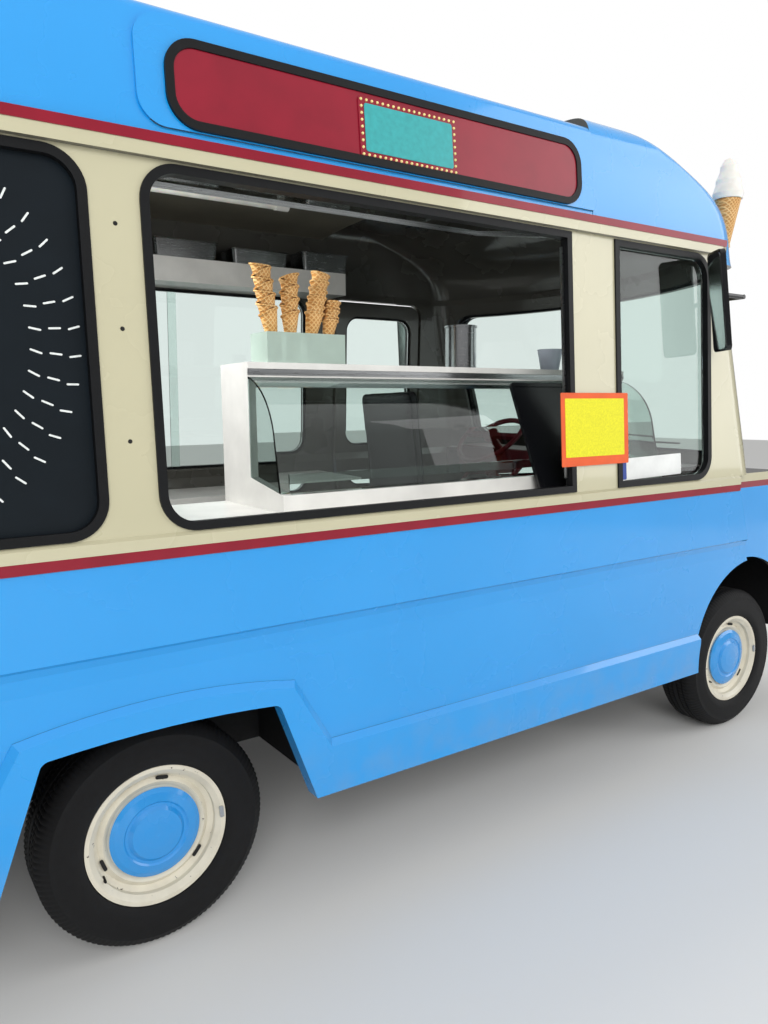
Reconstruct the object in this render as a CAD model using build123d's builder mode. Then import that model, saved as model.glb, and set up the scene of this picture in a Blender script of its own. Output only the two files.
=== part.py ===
from build123d import *
import os

# An ice cream truck: a forward-control van chassis with a moulded body, a
# high roof with a domed front, serving windows, and a scooping cabinet inside.
# Millimetres. +X is forward, +Y is the truck's left, +Z is up.
# The origin is on the ground, under the middle of the overall length.

# Running gear
WHEELBASE = 2692
REAR_REACH = 1160  # rear axle to the back of the rear bumper
FRONT_REACH = 780  # front axle to the nose of the front bumper
REAR_AXLE = (REAR_REACH - WHEELBASE - FRONT_REACH) / 2
FRONT_AXLE = REAR_AXLE + WHEELBASE
TYRE_R = 322
TYRE_W = 190
TYRE_SHOULDER = 26
BEAD_R = 182  # where the tyre meets the rim
RIM_R = 199  # outer edge of the rim's flange
FLANGE = 12
RIM_WALL = 7
RIM_TYRE_STEP = 14  # how far the tyre stands outside the rim's face
DISC_R = 165  # the pressed wheel disc inside the rim
DISC_BACK = 34  # how far the disc's face is set in from the flange
HUB_CAP_R = 128
HUB_CAP_RISE = 30
DRUM_R = 118
DRUM_DEPTH = 66
STUB_R = 26
STUB_GAP = 0.05
STUB_IN = 30  # how far a stub axle's end stays behind the disc's face
REAR_WHEEL_Y = 849  # outer face of the rims
FRONT_WHEEL_Y = 894
SEAT = 0.3  # clearance of a piece from what it is seated on
RAIL_Y = 420
RAIL_W = 60
RAIL_Z = 440
RAIL_H = 110
CROSS_W = 70
AXLE_TUBE_R = 42
DIFF_R = 130
SPRING_Y = RAIL_Y + 95
SPRING_W = 60
SPRING_T = 30
SPRING_HALF = 520
SPRING_RISE = 66
KINGPIN_Y = 700
KINGPIN_R = 14
KNUCKLE_R = 30
ARM_SPREAD = 92  # height of each suspension arm above or below the hub
ARM_H = 22
ARM_TIP = 34
ARM_ROOT = 90
BEAM_W = 120
STEER_ARM = 150
STEER_ARM_IN = 40
STEER_ARM_T = 16
STEER_EYE_R = 18
RACK_R = 22

# Body: heights above the ground
SKIRT_Z = 365
LEDGE_Z = 528  # top of the proud skirt band
LEDGE_SLOPE = 18
CREASE_Z = 905  # sharp upper edge of the crease
CREASE_H = 70  # height over which the side swells out to it
STRIPE_Z = 1125
STRIPE_H = 27
BELT_Z = STRIPE_Z + STRIPE_H
BELT_H = 36
SILL_Z = BELT_Z + BELT_H
CANT_Z = 2096
CANT_H = 32
ROOF_Z = CANT_Z + CANT_H
ROOF_STRIPE_H = 25
ROOF_EDGE_Z = ROOF_Z + 331
ROOF_CROWN = 42

# Body: half widths, counted from the lower side's
LOWER_W = 980
SKIRT_W = LOWER_W + 20
UPPER_W = LOWER_W + 18
BELT_W = LOWER_W + 24
SILL_W = LOWER_W + 14
CANT_W = LOWER_W - 35
CANT_BAND_W = CANT_W + 20
ROOF_W = CANT_W + 13
ROOF_TOP_W = ROOF_W - 28
WALL = 35
STRIPE_T = 5
COWL_W = LOWER_W - WALL - SEAT
COWL_WALL = 22

# Body: places along the length, counted from the nearer axle
BODY_BACK = REAR_AXLE - 1110
CORNER_R = 125
CORNER_X = BODY_BACK + CORNER_R
CORNER_Y = SKIRT_W - CORNER_R
FRONT_X = FRONT_AXLE - 375  # where the side walls meet the windscreen surround
SKIRT_FRONT_X = FRONT_AXLE - 403
SIDE_FRONT_TOP_X = FRONT_AXLE - 168
SIDE_FRONT_LOW = (FRONT_AXLE - 55, 809)
SCREEN_CORNER_X = FRONT_AXLE - 72
SCREEN_CENTRE_X = FRONT_AXLE + 238
SCREEN_RAKE = 190  # how far the windscreen leans back over its height
SCREEN_CORNER_R = 150

# Domed front of the roof, as plans: (height, half width, corner x, centre x, corner radius)
CAP_X = FRONT_AXLE - 1089
CAP_PLANS = (
    (ROOF_Z - 68, ROOF_W, FRONT_AXLE - 207, FRONT_AXLE + 123, 150),
    (ROOF_Z, ROOF_W, FRONT_AXLE - 229, FRONT_AXLE + 100, 150),
    (ROOF_Z + 209, ROOF_W - 18, FRONT_AXLE - 352, FRONT_AXLE - 24, 180),
    (ROOF_Z + 283, ROOF_W - 24, FRONT_AXLE - 522, FRONT_AXLE - 177, 190),
    (ROOF_Z + 340, ROOF_W - 36, FRONT_AXLE - 689, FRONT_AXLE - 309, 200),
    (ROOF_Z + 368, ROOF_W - 68, FRONT_AXLE - 802, FRONT_AXLE - 412, 200),
    (ROOF_Z + 384, ROOF_W - 178, FRONT_AXLE - 932, FRONT_AXLE - 572, 200),
)
CAP_FLANGE = 22  # depth of the cap's flange where it meets the roof and the walls
CAP_LIP_X = FRONT_AXLE - 292  # the lip over the windscreen starts here

# Nose
NOSE_BACK_X = FRONT_AXLE - 205
NOSE_CORNER_X = FRONT_AXLE + 640
NOSE_CENTRE_X = FRONT_AXLE + 705
NOSE_CORNER_R = 170
NOSE_Z = 455
NOSE_FALL_X = FRONT_AXLE + 250  # the bonnet falls from here
NOSE_LIP_Z = 950
NOSE_LIP_R = 130
BONNET_ALONG = (18, 375)  # down the slope
BONNET_HALF_W = 610
BONNET_R = 40
BONNET_GAP = 6

# Wheel arches
ARCH_TOP_HALF = 312
ARCH_FOOT_HALF = 424
ARCH_SHOULDER_Z = 674
ARCH_TOP_Z = 690
ARCH_R = 26
BAND_FOOT_HALF = 486
BAND_SHOULDER_HALF = 369
BAND_SHOULDER_Z = 730
BAND_TOP_Z = 766
FRONT_ARCH_X = FRONT_AXLE - 2
FRONT_ARCH_Z = 395
FRONT_ARCH_R = 412

# Openings
HATCH_X = (REAR_AXLE + 12, FRONT_AXLE - 1200)
CAB_X = (FRONT_AXLE - 951, FRONT_AXLE - 389)
QUARTER_X = (REAR_AXLE - 945, REAR_AXLE - 132)
WINDOW_Z = (SILL_Z + 12, CANT_Z - 16)
WINDOW_R = 84
REAR_WINDOW_HALF = 560
REAR_WINDOW_Z = (SILL_Z + 142, CANT_Z - 106)
SCREEN_HALF = CANT_W - 95
SCREEN_Z = (SILL_Z + 74, CANT_Z - 60)
SCREEN_R = 100
DOOR_X = (FRONT_AXLE - 1024, FRONT_AXLE - 430)
DOOR_Z = (LEDGE_Z + 20, CANT_Z - 12)
DOOR_R = 60
DOOR_GAP = 6
DOOR_SWING_GAP = 10  # at the edge away from the hinges
DOOR_FLANGE = 12
DOOR_PANE_X = (DOOR_X[0] + 77, DOOR_X[1] - 66)
DOOR_PANE_Z = (SILL_Z + 38, CANT_Z - 86)
HINGE_X = DOOR_X[1] + 4
HINGE_Y = UPPER_W + 14
HINGE_Z = (690, 1060)
HINGE_R = 10
HINGE_PIN_R = 5
HINGE_H = 36
HINGE_LEAF = 48
HINGE_LEAF_T = 8

# Seals and glass
SEAL_IN = 12
SEAL_LIP = 11
SEAL_PROUD = 7
SEAL_DEPTH = 25
GLASS = 6
GLASS_BACK = 16  # outer face of the glass, in from the body's

# Roof sign and the raised pad around it
PAD_X = (REAR_AXLE + 6, CAP_X)
PAD_Z = (ROOF_Z + 41, ROOF_EDGE_Z - 23)
PAD_R = 70
PAD_T = 8
SIGN_X = (REAR_AXLE + 76, CAP_X - 68)
SIGN_Z = (ROOF_Z + 44, ROOF_EDGE_Z - 69)
SIGN_R = 80
SIGN_RUBBER = 22
SIGN_RUBBER_T = 9
SIGN_T = 5

# Inside
FLOOR_Z = 660
FLOOR_T = 40
FLOOR_HALF = LOWER_W - WALL - SEAT
WHEEL_BOX_Z = 770

os.makedirs("parts", exist_ok=True)


def save(part, name):
    """Labels one piece and writes it as a STEP file."""
    part.label = name
    export_step(part, f"parts/{name}.step")


def outline(points):
    """A closed polygon in the sketch that is open."""
    with BuildLine() as line:
        Polyline(*points, close=True)
    make_face(line.edges())


def rectangle(low, high):
    """A rectangle between two corners, in the sketch that is open."""
    with Locations(((low[0] + high[0]) / 2, (low[1] + high[1]) / 2)):
        Rectangle(abs(high[0] - low[0]), abs(high[1] - low[1]))


def rounded(low, high, radius, grow=0.0):
    """A rounded rectangle between two corners, grown all round, in the sketch that is open."""
    with Locations(((low[0] + high[0]) / 2, (low[1] + high[1]) / 2)):
        RectangleRounded(abs(high[0] - low[0]) + 2 * grow, high[1] - low[1] + 2 * grow, radius + grow)


def block(low, high, mode=Mode.ADD):
    """A box between two corners, in the part that is open."""
    with Locations(tuple((a + b) / 2 for a, b in zip(low, high))):
        Box(*(abs(b - a) for a, b in zip(low, high)), mode=mode)


def leaning_plane(side, foot_w, top_w, foot_z, top_z):
    """A side's outer plane: local x runs along the truck, forward on the right, local y up the side."""
    lean = Vector(0, side * (top_w - foot_w), top_z - foot_z).normalized()
    along = Vector(-side, 0, 0)
    return Plane(origin=(0, side * foot_w, foot_z), x_dir=along, z_dir=along.cross(lean))


def window_plane(side):
    """The outer plane of the window zone, with its origin at the sill."""
    return leaning_plane(side, SILL_W, CANT_W, SILL_Z, CANT_Z)


def roof_plane(side):
    """The outer plane of the roof's side, with its origin at the roof's foot."""
    return leaning_plane(side, ROOF_W, ROOF_TOP_W, ROOF_Z, ROOF_EDGE_Z)


def rear_plane():
    """The outer plane of the rear wall's window zone."""
    lean = Vector(SILL_W - CANT_W, 0, CANT_Z - SILL_Z).normalized()
    across = Vector(0, -1, 0)
    origin = (CORNER_X + CORNER_Y - SILL_W, 0, SILL_Z)
    return Plane(origin=origin, x_dir=across, z_dir=across.cross(lean))


# Window outlines, each drawn on its own plane and grown all round by a given amount
def right_hatch(grow=0.0):
    """The right serving window, which runs on past a pillar to the cab window."""
    low, high = WINDOW_Z[0] - SILL_Z, WINDOW_Z[1] - SILL_Z
    rounded((HATCH_X[0], low), (CAB_X[1], high), WINDOW_R, grow)
    with Locations(((HATCH_X[1] + CAB_X[0]) / 2, (low + high) / 2)):
        Rectangle(CAB_X[0] - HATCH_X[1] - 2 * grow, 2 * (high - low), mode=Mode.SUBTRACT)


def left_hatch(grow=0.0):
    """The left serving window."""
    rounded((-HATCH_X[1], WINDOW_Z[0] - SILL_Z), (-HATCH_X[0], WINDOW_Z[1] - SILL_Z), WINDOW_R, grow)


def right_quarter(grow=0.0):
    """The right window behind the rear axle."""
    rounded((QUARTER_X[0], WINDOW_Z[0] - SILL_Z), (QUARTER_X[1], WINDOW_Z[1] - SILL_Z), WINDOW_R, grow)


def left_quarter(grow=0.0):
    """The left window behind the rear axle."""
    rounded((-QUARTER_X[1], WINDOW_Z[0] - SILL_Z), (-QUARTER_X[0], WINDOW_Z[1] - SILL_Z), WINDOW_R, grow)


def rear_window(grow=0.0):
    """The window in the rear wall."""
    low, high = REAR_WINDOW_Z[0] - SILL_Z, REAR_WINDOW_Z[1] - SILL_Z
    rounded((-REAR_WINDOW_HALF, low), (REAR_WINDOW_HALF, high), WINDOW_R, grow)


def door_window(grow=0.0):
    """The driver's door's window."""
    low, high = DOOR_PANE_Z[0] - SILL_Z, DOOR_PANE_Z[1] - SILL_Z
    rounded((-DOOR_PANE_X[1], low), (-DOOR_PANE_X[0], high), WINDOW_R, grow)


WINDOWS = (  # (plane, outline)
    (window_plane(-1), right_hatch),
    (window_plane(1), left_hatch),
    (window_plane(-1), right_quarter),
    (window_plane(1), left_quarter),
    (rear_plane(), rear_window),
)


def slab(plane, draw, grow, foot, head, mode=Mode.ADD):
    """A window's outline, grown, between two depths of its plane, in the part that is open."""
    with BuildSketch(plane.offset(foot)) as face:
        draw(grow)
    extrude(face.sketch, amount=head - foot, mode=mode)


def pierce(plane, draw):
    """Cuts a window through the part that is open."""
    slab(plane, draw, 0, -3 * WALL, 3 * WALL, Mode.SUBTRACT)


def window_seal(plane, draw):
    """A window's rubber: a ring in the opening and a lip that lies on the wall."""
    with BuildPart() as seal:
        slab(plane, draw, -SEAT, -SEAL_DEPTH, SEAL_PROUD)
        slab(plane, draw, SEAL_LIP, 0, SEAL_PROUD)
        slab(plane, draw, -SEAL_IN, -SEAL_DEPTH, SEAL_PROUD, Mode.SUBTRACT)
    return seal.part


# Cross-sections of the walls, as (half width, height)
LOWER_SECTION = (
    (LOWER_W, SKIRT_Z),
    (LOWER_W, CREASE_Z - CREASE_H),
    (SKIRT_W - 16, CREASE_Z - 27),
    (SKIRT_W - 9, CREASE_Z - 8),
    (SKIRT_W, CREASE_Z),
    (UPPER_W, STRIPE_Z),
    (UPPER_W, BELT_Z),
    (LOWER_W - WALL, BELT_Z),
    (LOWER_W - WALL, SKIRT_Z),
)
UPPER_SECTION = (
    (BELT_W, BELT_Z),
    (BELT_W, SILL_Z - 8),
    (SILL_W, SILL_Z),
    (CANT_W, CANT_Z),
    (CANT_BAND_W, CANT_Z),
    (CANT_BAND_W, ROOF_Z),
    (CANT_W - WALL, ROOF_Z),
    (CANT_W - WALL, CANT_Z),
    (SILL_W - WALL, SILL_Z),
    (LOWER_W - WALL, BELT_Z),
)
BELT_SECTION = (
    (BELT_W, BELT_Z),
    (BELT_W, SILL_Z - 8),
    (SILL_W, SILL_Z),
    (SILL_W - WALL, SILL_Z),
    (LOWER_W - WALL, BELT_Z),
)
SKIRT_SECTION = (
    (LOWER_W, SKIRT_Z),
    (SKIRT_W, SKIRT_Z),
    (SKIRT_W, LEDGE_Z - LEDGE_SLOPE),
    (LOWER_W, LEDGE_Z),
)
BELT_STRIPE_SECTION = (
    (UPPER_W, STRIPE_Z),
    (UPPER_W + STRIPE_T, STRIPE_Z),
    (UPPER_W + STRIPE_T, BELT_Z),
    (UPPER_W, BELT_Z),
)


def along_side(section, side, x_range):
    """Adds a stretch of straight side wall to the part that is open."""
    with BuildSketch(Plane.YZ.offset(x_range[0])) as face:
        outline([(side * w, z) for w, z in section])
    extrude(face.sketch, amount=x_range[1] - x_range[0])


def round_rear(section):
    """Adds the rear wall of a section and the two rounded rear corners."""
    for side in (-1, 1):
        with BuildSketch(Plane.YZ.offset(CORNER_X)) as corner:
            outline([(side * w, z) for w, z in section])
        revolve(corner.sketch, axis=Axis((CORNER_X, side * CORNER_Y, 0), (0, 0, side)), revolution_arc=90)
    with BuildSketch(Plane.XZ.offset(-CORNER_Y)) as wall:
        outline([(CORNER_X + CORNER_Y - w, z) for w, z in section])
    extrude(wall.sketch, amount=2 * CORNER_Y)


def bowed_plan(half_width, back_x, corner_x, centre_x, radius):
    """A plan with straight sides and a bowed front with rounded corners, in the sketch that is open."""
    with BuildLine() as line:
        sides = Polyline(
            (corner_x, half_width), (back_x, half_width), (back_x, -half_width), (corner_x, -half_width)
        )
        ThreePointArc(sides @ 1, (centre_x, 0), sides @ 0)
    plan = make_face(line.edges())
    fillet(plan.vertices().sort_by(Axis.X)[-2:], radius)


# Chassis frame: two rails, cross members, floor mounts, bumper brackets, and a towing eye at each end
TOW_EYE_R = 16
TOW_PLATE_T = 18
TOW_PLATE_W = 110
TOW_Z = 330
TOW_REACH = 60
FRAME_X = (BODY_BACK + 70, FRONT_AXLE + 560)
CROSS_X = (
    FRAME_X[0] + CROSS_W / 2,
    REAR_AXLE - 640,
    REAR_AXLE + 640,
    REAR_AXLE + 1250,
    FRONT_AXLE - 560,
    FRAME_X[1] - CROSS_W / 2,
)
BUMPER_Z = 400
BUMPER_H = 120
BUMPER_T = 32
BRACKET_W = 50
BRACKET_Z = (RAIL_Z + 25, RAIL_Z + 75)
REAR_BUMPER_FACE = REAR_AXLE - REAR_REACH + BUMPER_T
FRONT_BUMPER_FACE = FRONT_AXLE + FRONT_REACH - BUMPER_T
FRONT_BRACKET_Z = (RAIL_Z - 20, RAIL_Z)
FRONT_BUMPER_BOW = 14.7  # how far the bumper falls back at the brackets

with BuildPart() as chassis_frame:
    for side in (-1, 1):
        rail = side * RAIL_Y
        block((FRAME_X[0], rail - RAIL_W / 2, RAIL_Z), (FRAME_X[1], rail + RAIL_W / 2, RAIL_Z + RAIL_H))
        block(
            (REAR_BUMPER_FACE, rail - BRACKET_W / 2, BRACKET_Z[0]),
            (FRAME_X[0], rail + BRACKET_W / 2, BRACKET_Z[1]),
        )
        block(
            (FRAME_X[1] - 120, rail - BRACKET_W / 2, FRONT_BRACKET_Z[0]),
            (FRONT_BUMPER_FACE - FRONT_BUMPER_BOW, rail + BRACKET_W / 2, FRONT_BRACKET_Z[1]),
        )
    for x in CROSS_X:
        block(
            (x - CROSS_W / 2, -RAIL_Y, RAIL_Z + RAIL_H / 4),
            (x + CROSS_W / 2, RAIL_Y, RAIL_Z + 3 * RAIL_H / 4),
        )
    for x in CROSS_X[:-1]:
        for rail in (-RAIL_Y, RAIL_Y):
            block(
                (x - CROSS_W / 2, rail - RAIL_W / 2, RAIL_Z),
                (x + CROSS_W / 2, rail + RAIL_W / 2, FLOOR_Z - FLOOR_T - SEAT),
            )
    for cross_x, outward in ((CROSS_X[0], -1), (CROSS_X[-1], 1)):
        eye_x = cross_x + outward * (CROSS_W / 2 + TOW_REACH)
        block((cross_x - 20, -TOW_PLATE_W / 2, TOW_Z), (cross_x + 20, TOW_PLATE_W / 2, RAIL_Z + RAIL_H / 4))
        with BuildSketch(Plane.XY.offset(TOW_Z)):
            rectangle((cross_x, -TOW_PLATE_W / 2), (eye_x, TOW_PLATE_W / 2))
            with Locations((eye_x, 0)):
                Circle(TOW_PLATE_W / 2)
                Circle(TOW_EYE_R, mode=Mode.SUBTRACT)
        extrude(amount=TOW_PLATE_T)
save(chassis_frame.part, "chassis_frame")

# Rear axle: tube, stub ends, differential, and a leaf spring hung from each rail
REAR_TUBE_Y = REAR_WHEEL_Y - DISC_BACK - DRUM_DEPTH - 6
SPRING_EYE_Z = TYRE_R + AXLE_TUBE_R + SPRING_RISE
SPRING_FOOT_Z = TYRE_R + AXLE_TUBE_R - 6

with BuildPart() as rear_axle:
    for radius, half in ((AXLE_TUBE_R, REAR_TUBE_Y), (STUB_R, REAR_WHEEL_Y - DISC_BACK - STUB_IN)):
        with BuildSketch(Plane.XZ):
            with Locations((REAR_AXLE, TYRE_R)):
                Circle(radius)
        extrude(amount=half, both=True)
    with Locations((REAR_AXLE, 0, TYRE_R)):
        Sphere(DIFF_R)
    for side in (-1, 1):
        with BuildSketch(Plane.XZ.offset(-side * SPRING_Y)):
            with BuildLine():
                low = ThreePointArc(
                    (REAR_AXLE - SPRING_HALF, SPRING_EYE_Z),
                    (REAR_AXLE, SPRING_FOOT_Z),
                    (REAR_AXLE + SPRING_HALF, SPRING_EYE_Z),
                )
                high = ThreePointArc(
                    (REAR_AXLE - SPRING_HALF, SPRING_EYE_Z + SPRING_T),
                    (REAR_AXLE, SPRING_FOOT_Z + SPRING_T),
                    (REAR_AXLE + SPRING_HALF, SPRING_EYE_Z + SPRING_T),
                )
                Line(low @ 0, high @ 0)
                Line(low @ 1, high @ 1)
            make_face()
        extrude(amount=SPRING_W / 2, both=True)
        for end in (-1, 1):
            hanger_x = REAR_AXLE + end * (SPRING_HALF - SPRING_T / 2)
            block(
                (hanger_x - SPRING_T, side * (RAIL_Y + RAIL_W / 2), SPRING_EYE_Z),
                (hanger_x + SPRING_T, side * (SPRING_Y + SPRING_W / 2), SPRING_EYE_Z + 2 * SPRING_T),
            )
save(rear_axle.part, "rear_axle")

# Front suspension: a cross member with the steering rack, and a pair of arms to each kingpin
ARM_Z = (TYRE_R - ARM_SPREAD, TYRE_R + ARM_SPREAD)

with BuildPart() as front_suspension:
    block(
        (FRONT_AXLE - BEAM_W / 2, -RAIL_Y + RAIL_W / 2, ARM_Z[0] - ARM_H / 2),
        (FRONT_AXLE + BEAM_W / 2, RAIL_Y - RAIL_W / 2, RAIL_Z + RAIL_H / 2),
    )
    for side in (-1, 1):
        root, tip = side * (RAIL_Y - RAIL_W / 2 - 8), side * KINGPIN_Y
        for arm_z in ARM_Z:
            with BuildSketch(Plane.XY.offset(arm_z - ARM_H / 2)):
                outline(
                    [
                        (FRONT_AXLE - ARM_ROOT, root),
                        (FRONT_AXLE + ARM_ROOT, root),
                        (FRONT_AXLE + ARM_TIP, tip),
                        (FRONT_AXLE - ARM_TIP, tip),
                    ]
                )
                with Locations((FRONT_AXLE, tip)):
                    Circle(ARM_TIP)
                    Circle(KINGPIN_R + STUB_GAP, mode=Mode.SUBTRACT)
            extrude(amount=ARM_H)
    with BuildSketch(Plane.XZ):
        with Locations((FRONT_AXLE - BEAM_W / 2 - RACK_R / 2, TYRE_R)):
            Circle(RACK_R)
    extrude(amount=RAIL_Y - RAIL_W / 2, both=True)
save(front_suspension.part, "front_suspension")


# Knuckles: a kingpin held by the two arms, a stub axle and a steering arm
def knuckle(side):
    """One front knuckle, turning about its kingpin."""
    post = (FRONT_AXLE, side * KINGPIN_Y)
    eye = (FRONT_AXLE - STEER_ARM, side * (KINGPIN_Y - STEER_ARM_IN))
    pin_foot, pin_head = ARM_Z[0] - ARM_H / 2, ARM_Z[1] + ARM_H / 2
    with BuildPart() as upright:
        for radius, foot, head in (
            (KINGPIN_R, pin_foot, pin_head),
            (KNUCKLE_R, ARM_Z[0] + ARM_H / 2 + SEAT, ARM_Z[1] - ARM_H / 2 - SEAT),
        ):
            with BuildSketch(Plane.XY.offset(foot)):
                with Locations(post):
                    Circle(radius)
            extrude(amount=head - foot)
        with BuildSketch(Plane.XZ.offset(-side * KINGPIN_Y)):
            with Locations((FRONT_AXLE, TYRE_R)):
                Circle(STUB_R)
        extrude(amount=-side * (FRONT_WHEEL_Y - DISC_BACK - STUB_IN - KINGPIN_Y))
        with BuildSketch(Plane.XY.offset(TYRE_R - STEER_ARM_T / 2)):
            outline(
                [
                    (post[0], post[1] + STEER_EYE_R),
                    (post[0], post[1] - STEER_EYE_R),
                    (eye[0], eye[1] - STEER_EYE_R / 2),
                    (eye[0], eye[1] + STEER_EYE_R / 2),
                ]
            )
            with Locations(eye):
                Circle(STEER_EYE_R)
        extrude(amount=STEER_ARM_T)
    return upright.part


for place, side in (("right", -1), ("left", 1)):
    save(knuckle(side), f"knuckle_{place}")


# Wheels. Each profile is drawn with x as the radius and y outboard from the truck's middle
def turn_wheel_part(axle_x, side, points):
    """Turns a closed profile of lines about a wheel's axis, in the part that is open."""
    with BuildSketch(Plane(origin=(axle_x, 0, TYRE_R), x_dir=(1, 0, 0), z_dir=(0, 0, side))) as profile:
        outline(points)
    revolve(profile.sketch, axis=Axis((axle_x, 0, TYRE_R), (0, 1, 0)))


def tyre(axle_x, side, face_y):
    """One tyre, its outer wall standing a little proud of the rim's face."""
    outer, inner = face_y + RIM_TYRE_STEP, face_y + RIM_TYRE_STEP - TYRE_W
    half = (
        (BEAD_R, -RIM_TYRE_STEP - 10),
        (RIM_R + 1, -RIM_TYRE_STEP - 3),
        (RIM_R + 3, -RIM_TYRE_STEP + 6),
        (RIM_R + 22, -2),
        (RIM_R + 55, 0),
        (TYRE_R - 34, -3),
        (TYRE_R - 10, -TYRE_SHOULDER),
        (TYRE_R, -TYRE_SHOULDER - 16),
    )
    with BuildPart() as ring:
        turn_wheel_part(
            axle_x, side, [(r, outer + d) for r, d in half] + [(r, inner - d) for r, d in reversed(half)]
        )
    return ring.part


def rim(axle_x, side, face_y):
    """One rim: flanged barrel, dished disc, and the brake drum with the hub's bore."""
    inner = face_y + RIM_TYRE_STEP - TYRE_W + 20
    barrel = BEAD_R - SEAT
    disc_y = face_y - DISC_BACK
    bore = STUB_R + STUB_GAP
    with BuildPart() as wheel:
        turn_wheel_part(
            axle_x,
            side,
            [
                (barrel, inner),
                (barrel, face_y - 7),
                (RIM_R, face_y - 2),
                (RIM_R, face_y + 2),
                (RIM_R - FLANGE, face_y + 2),
                (BEAD_R - 10, face_y - 10),
                (DISC_R + 6, face_y - 24),
                (DISC_R - 8, disc_y),
                (HUB_CAP_R + 16, disc_y + 9),
                (HUB_CAP_R + 2, disc_y),
                (bore, disc_y),
                (bore, disc_y - DRUM_DEPTH),
                (DRUM_R, disc_y - DRUM_DEPTH),
                (DRUM_R, disc_y - RIM_WALL),
                (DISC_R, disc_y - RIM_WALL),
                (DISC_R, inner + 22),
                (BEAD_R - 12, inner),
            ],
        )
    return wheel.part


def hub_cap(axle_x, side, face_y):
    """One domed hub cap with a stepped boss, seated on the disc."""
    seat = face_y - DISC_BACK + SEAT
    rise = seat + HUB_CAP_RISE
    with BuildPart() as cap:
        turn_wheel_part(
            axle_x,
            side,
            [
                (0, seat + 12),
                (HUB_CAP_R - 16, seat + 12),
                (HUB_CAP_R - 14, seat),
                (HUB_CAP_R - 6, seat),
                (HUB_CAP_R, seat + 12),
                (0.9 * HUB_CAP_R, rise - 12),
                (0.72 * HUB_CAP_R, rise - 6),
                (0.68 * HUB_CAP_R, rise - 10),
                (0.62 * HUB_CAP_R, rise - 10),
                (0.54 * HUB_CAP_R, rise - 1),
                (0.3 * HUB_CAP_R, rise + 3),
                (0, rise + 4),
            ],
        )
    return cap.part


WHEELS = (  # (place, axle x, side, rim's face)
    ("front_right", FRONT_AXLE, -1, FRONT_WHEEL_Y),
    ("front_left", FRONT_AXLE, 1, FRONT_WHEEL_Y),
    ("rear_right", REAR_AXLE, -1, REAR_WHEEL_Y),
    ("rear_left", REAR_AXLE, 1, REAR_WHEEL_Y),
)
for place, axle_x, side, face_y in WHEELS:
    save(tyre(axle_x, side, face_y), f"tyre_{place}")
    save(rim(axle_x, side, face_y), f"rim_{place}")
    save(hub_cap(axle_x, side, face_y), f"hub_cap_{place}")

# Engine block on the front cross member, exhaust pipe and fuel tank under the floor
ENGINE_X = (FRONT_AXLE - 60, FRONT_AXLE + 480)
ENGINE_HALF = 230
ENGINE_Z = (RAIL_Z + RAIL_H / 2 + SEAT, 1010)
EXHAUST_R = 24
EXHAUST_Y = -300
EXHAUST_Z = RAIL_Z + RAIL_H / 4 - EXHAUST_R - SEAT
EXHAUST_X = (REAR_AXLE + 240, FRONT_AXLE - 400)
MUFFLER_R = 65
MUFFLER_X = (REAR_AXLE + 700, REAR_AXLE + 1150)
TANK_X = (REAR_AXLE + 760, REAR_AXLE + 1460)
TANK_Y = (RAIL_Y + RAIL_W / 2 + SEAT, 860)
TANK_Z = (350, 570)
TANK_R = 40

with BuildPart() as engine_block:
    block((ENGINE_X[0], -ENGINE_HALF, ENGINE_Z[0]), (ENGINE_X[1], ENGINE_HALF, ENGINE_Z[1]))
save(engine_block.part, "engine_block")

with BuildPart() as exhaust:
    for radius, x_range in ((EXHAUST_R, EXHAUST_X), (MUFFLER_R, MUFFLER_X)):
        with BuildSketch(Plane.YZ.offset(x_range[0])):
            with Locations((EXHAUST_Y, EXHAUST_Z)):
                Circle(radius)
        extrude(amount=x_range[1] - x_range[0])
save(exhaust.part, "exhaust")

with BuildPart() as fuel_tank:
    block((TANK_X[0], TANK_Y[0], TANK_Z[0]), (TANK_X[1], TANK_Y[1], TANK_Z[1]))
    fillet(fuel_tank.edges().filter_by(Axis.X), TANK_R)
save(fuel_tank.part, "fuel_tank")


# Side walls below the belt, with the skirt band, both wheel arches and the driver's doorway
def skirt_band(back_x, front_x):
    """The proud skirt band: straight, climbing over the rear arch, in the sketch that is open."""
    with BuildLine() as line:
        front = Polyline(
            (back_x, SKIRT_Z),
            (front_x, SKIRT_Z),
            (front_x, LEDGE_Z),
            (REAR_AXLE + BAND_FOOT_HALF, LEDGE_Z),
            (REAR_AXLE + BAND_SHOULDER_HALF, BAND_SHOULDER_Z),
        )
        crown = ThreePointArc(
            front @ 1, (REAR_AXLE, BAND_TOP_Z), (REAR_AXLE - BAND_SHOULDER_HALF, BAND_SHOULDER_Z)
        )
        Polyline(crown @ 1, (REAR_AXLE - BAND_FOOT_HALF, LEDGE_Z), (back_x, LEDGE_Z), (back_x, SKIRT_Z))
    make_face(line.edges())


def rear_arch():
    """The rear wheel opening, in the sketch that is open."""
    with BuildLine() as line:
        foot = Polyline(
            (REAR_AXLE - ARCH_TOP_HALF, ARCH_SHOULDER_Z),
            (REAR_AXLE - ARCH_FOOT_HALF, SKIRT_Z),
            (REAR_AXLE - ARCH_FOOT_HALF, 0),
            (REAR_AXLE + ARCH_FOOT_HALF, 0),
            (REAR_AXLE + ARCH_FOOT_HALF, SKIRT_Z),
            (REAR_AXLE + ARCH_TOP_HALF, ARCH_SHOULDER_Z),
        )
        ThreePointArc(foot @ 1, (REAR_AXLE, ARCH_TOP_Z), foot @ 0)
    opening = make_face(line.edges())
    fillet(opening.vertices().sort_by(Axis.Y)[-2:], ARCH_R)


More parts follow.
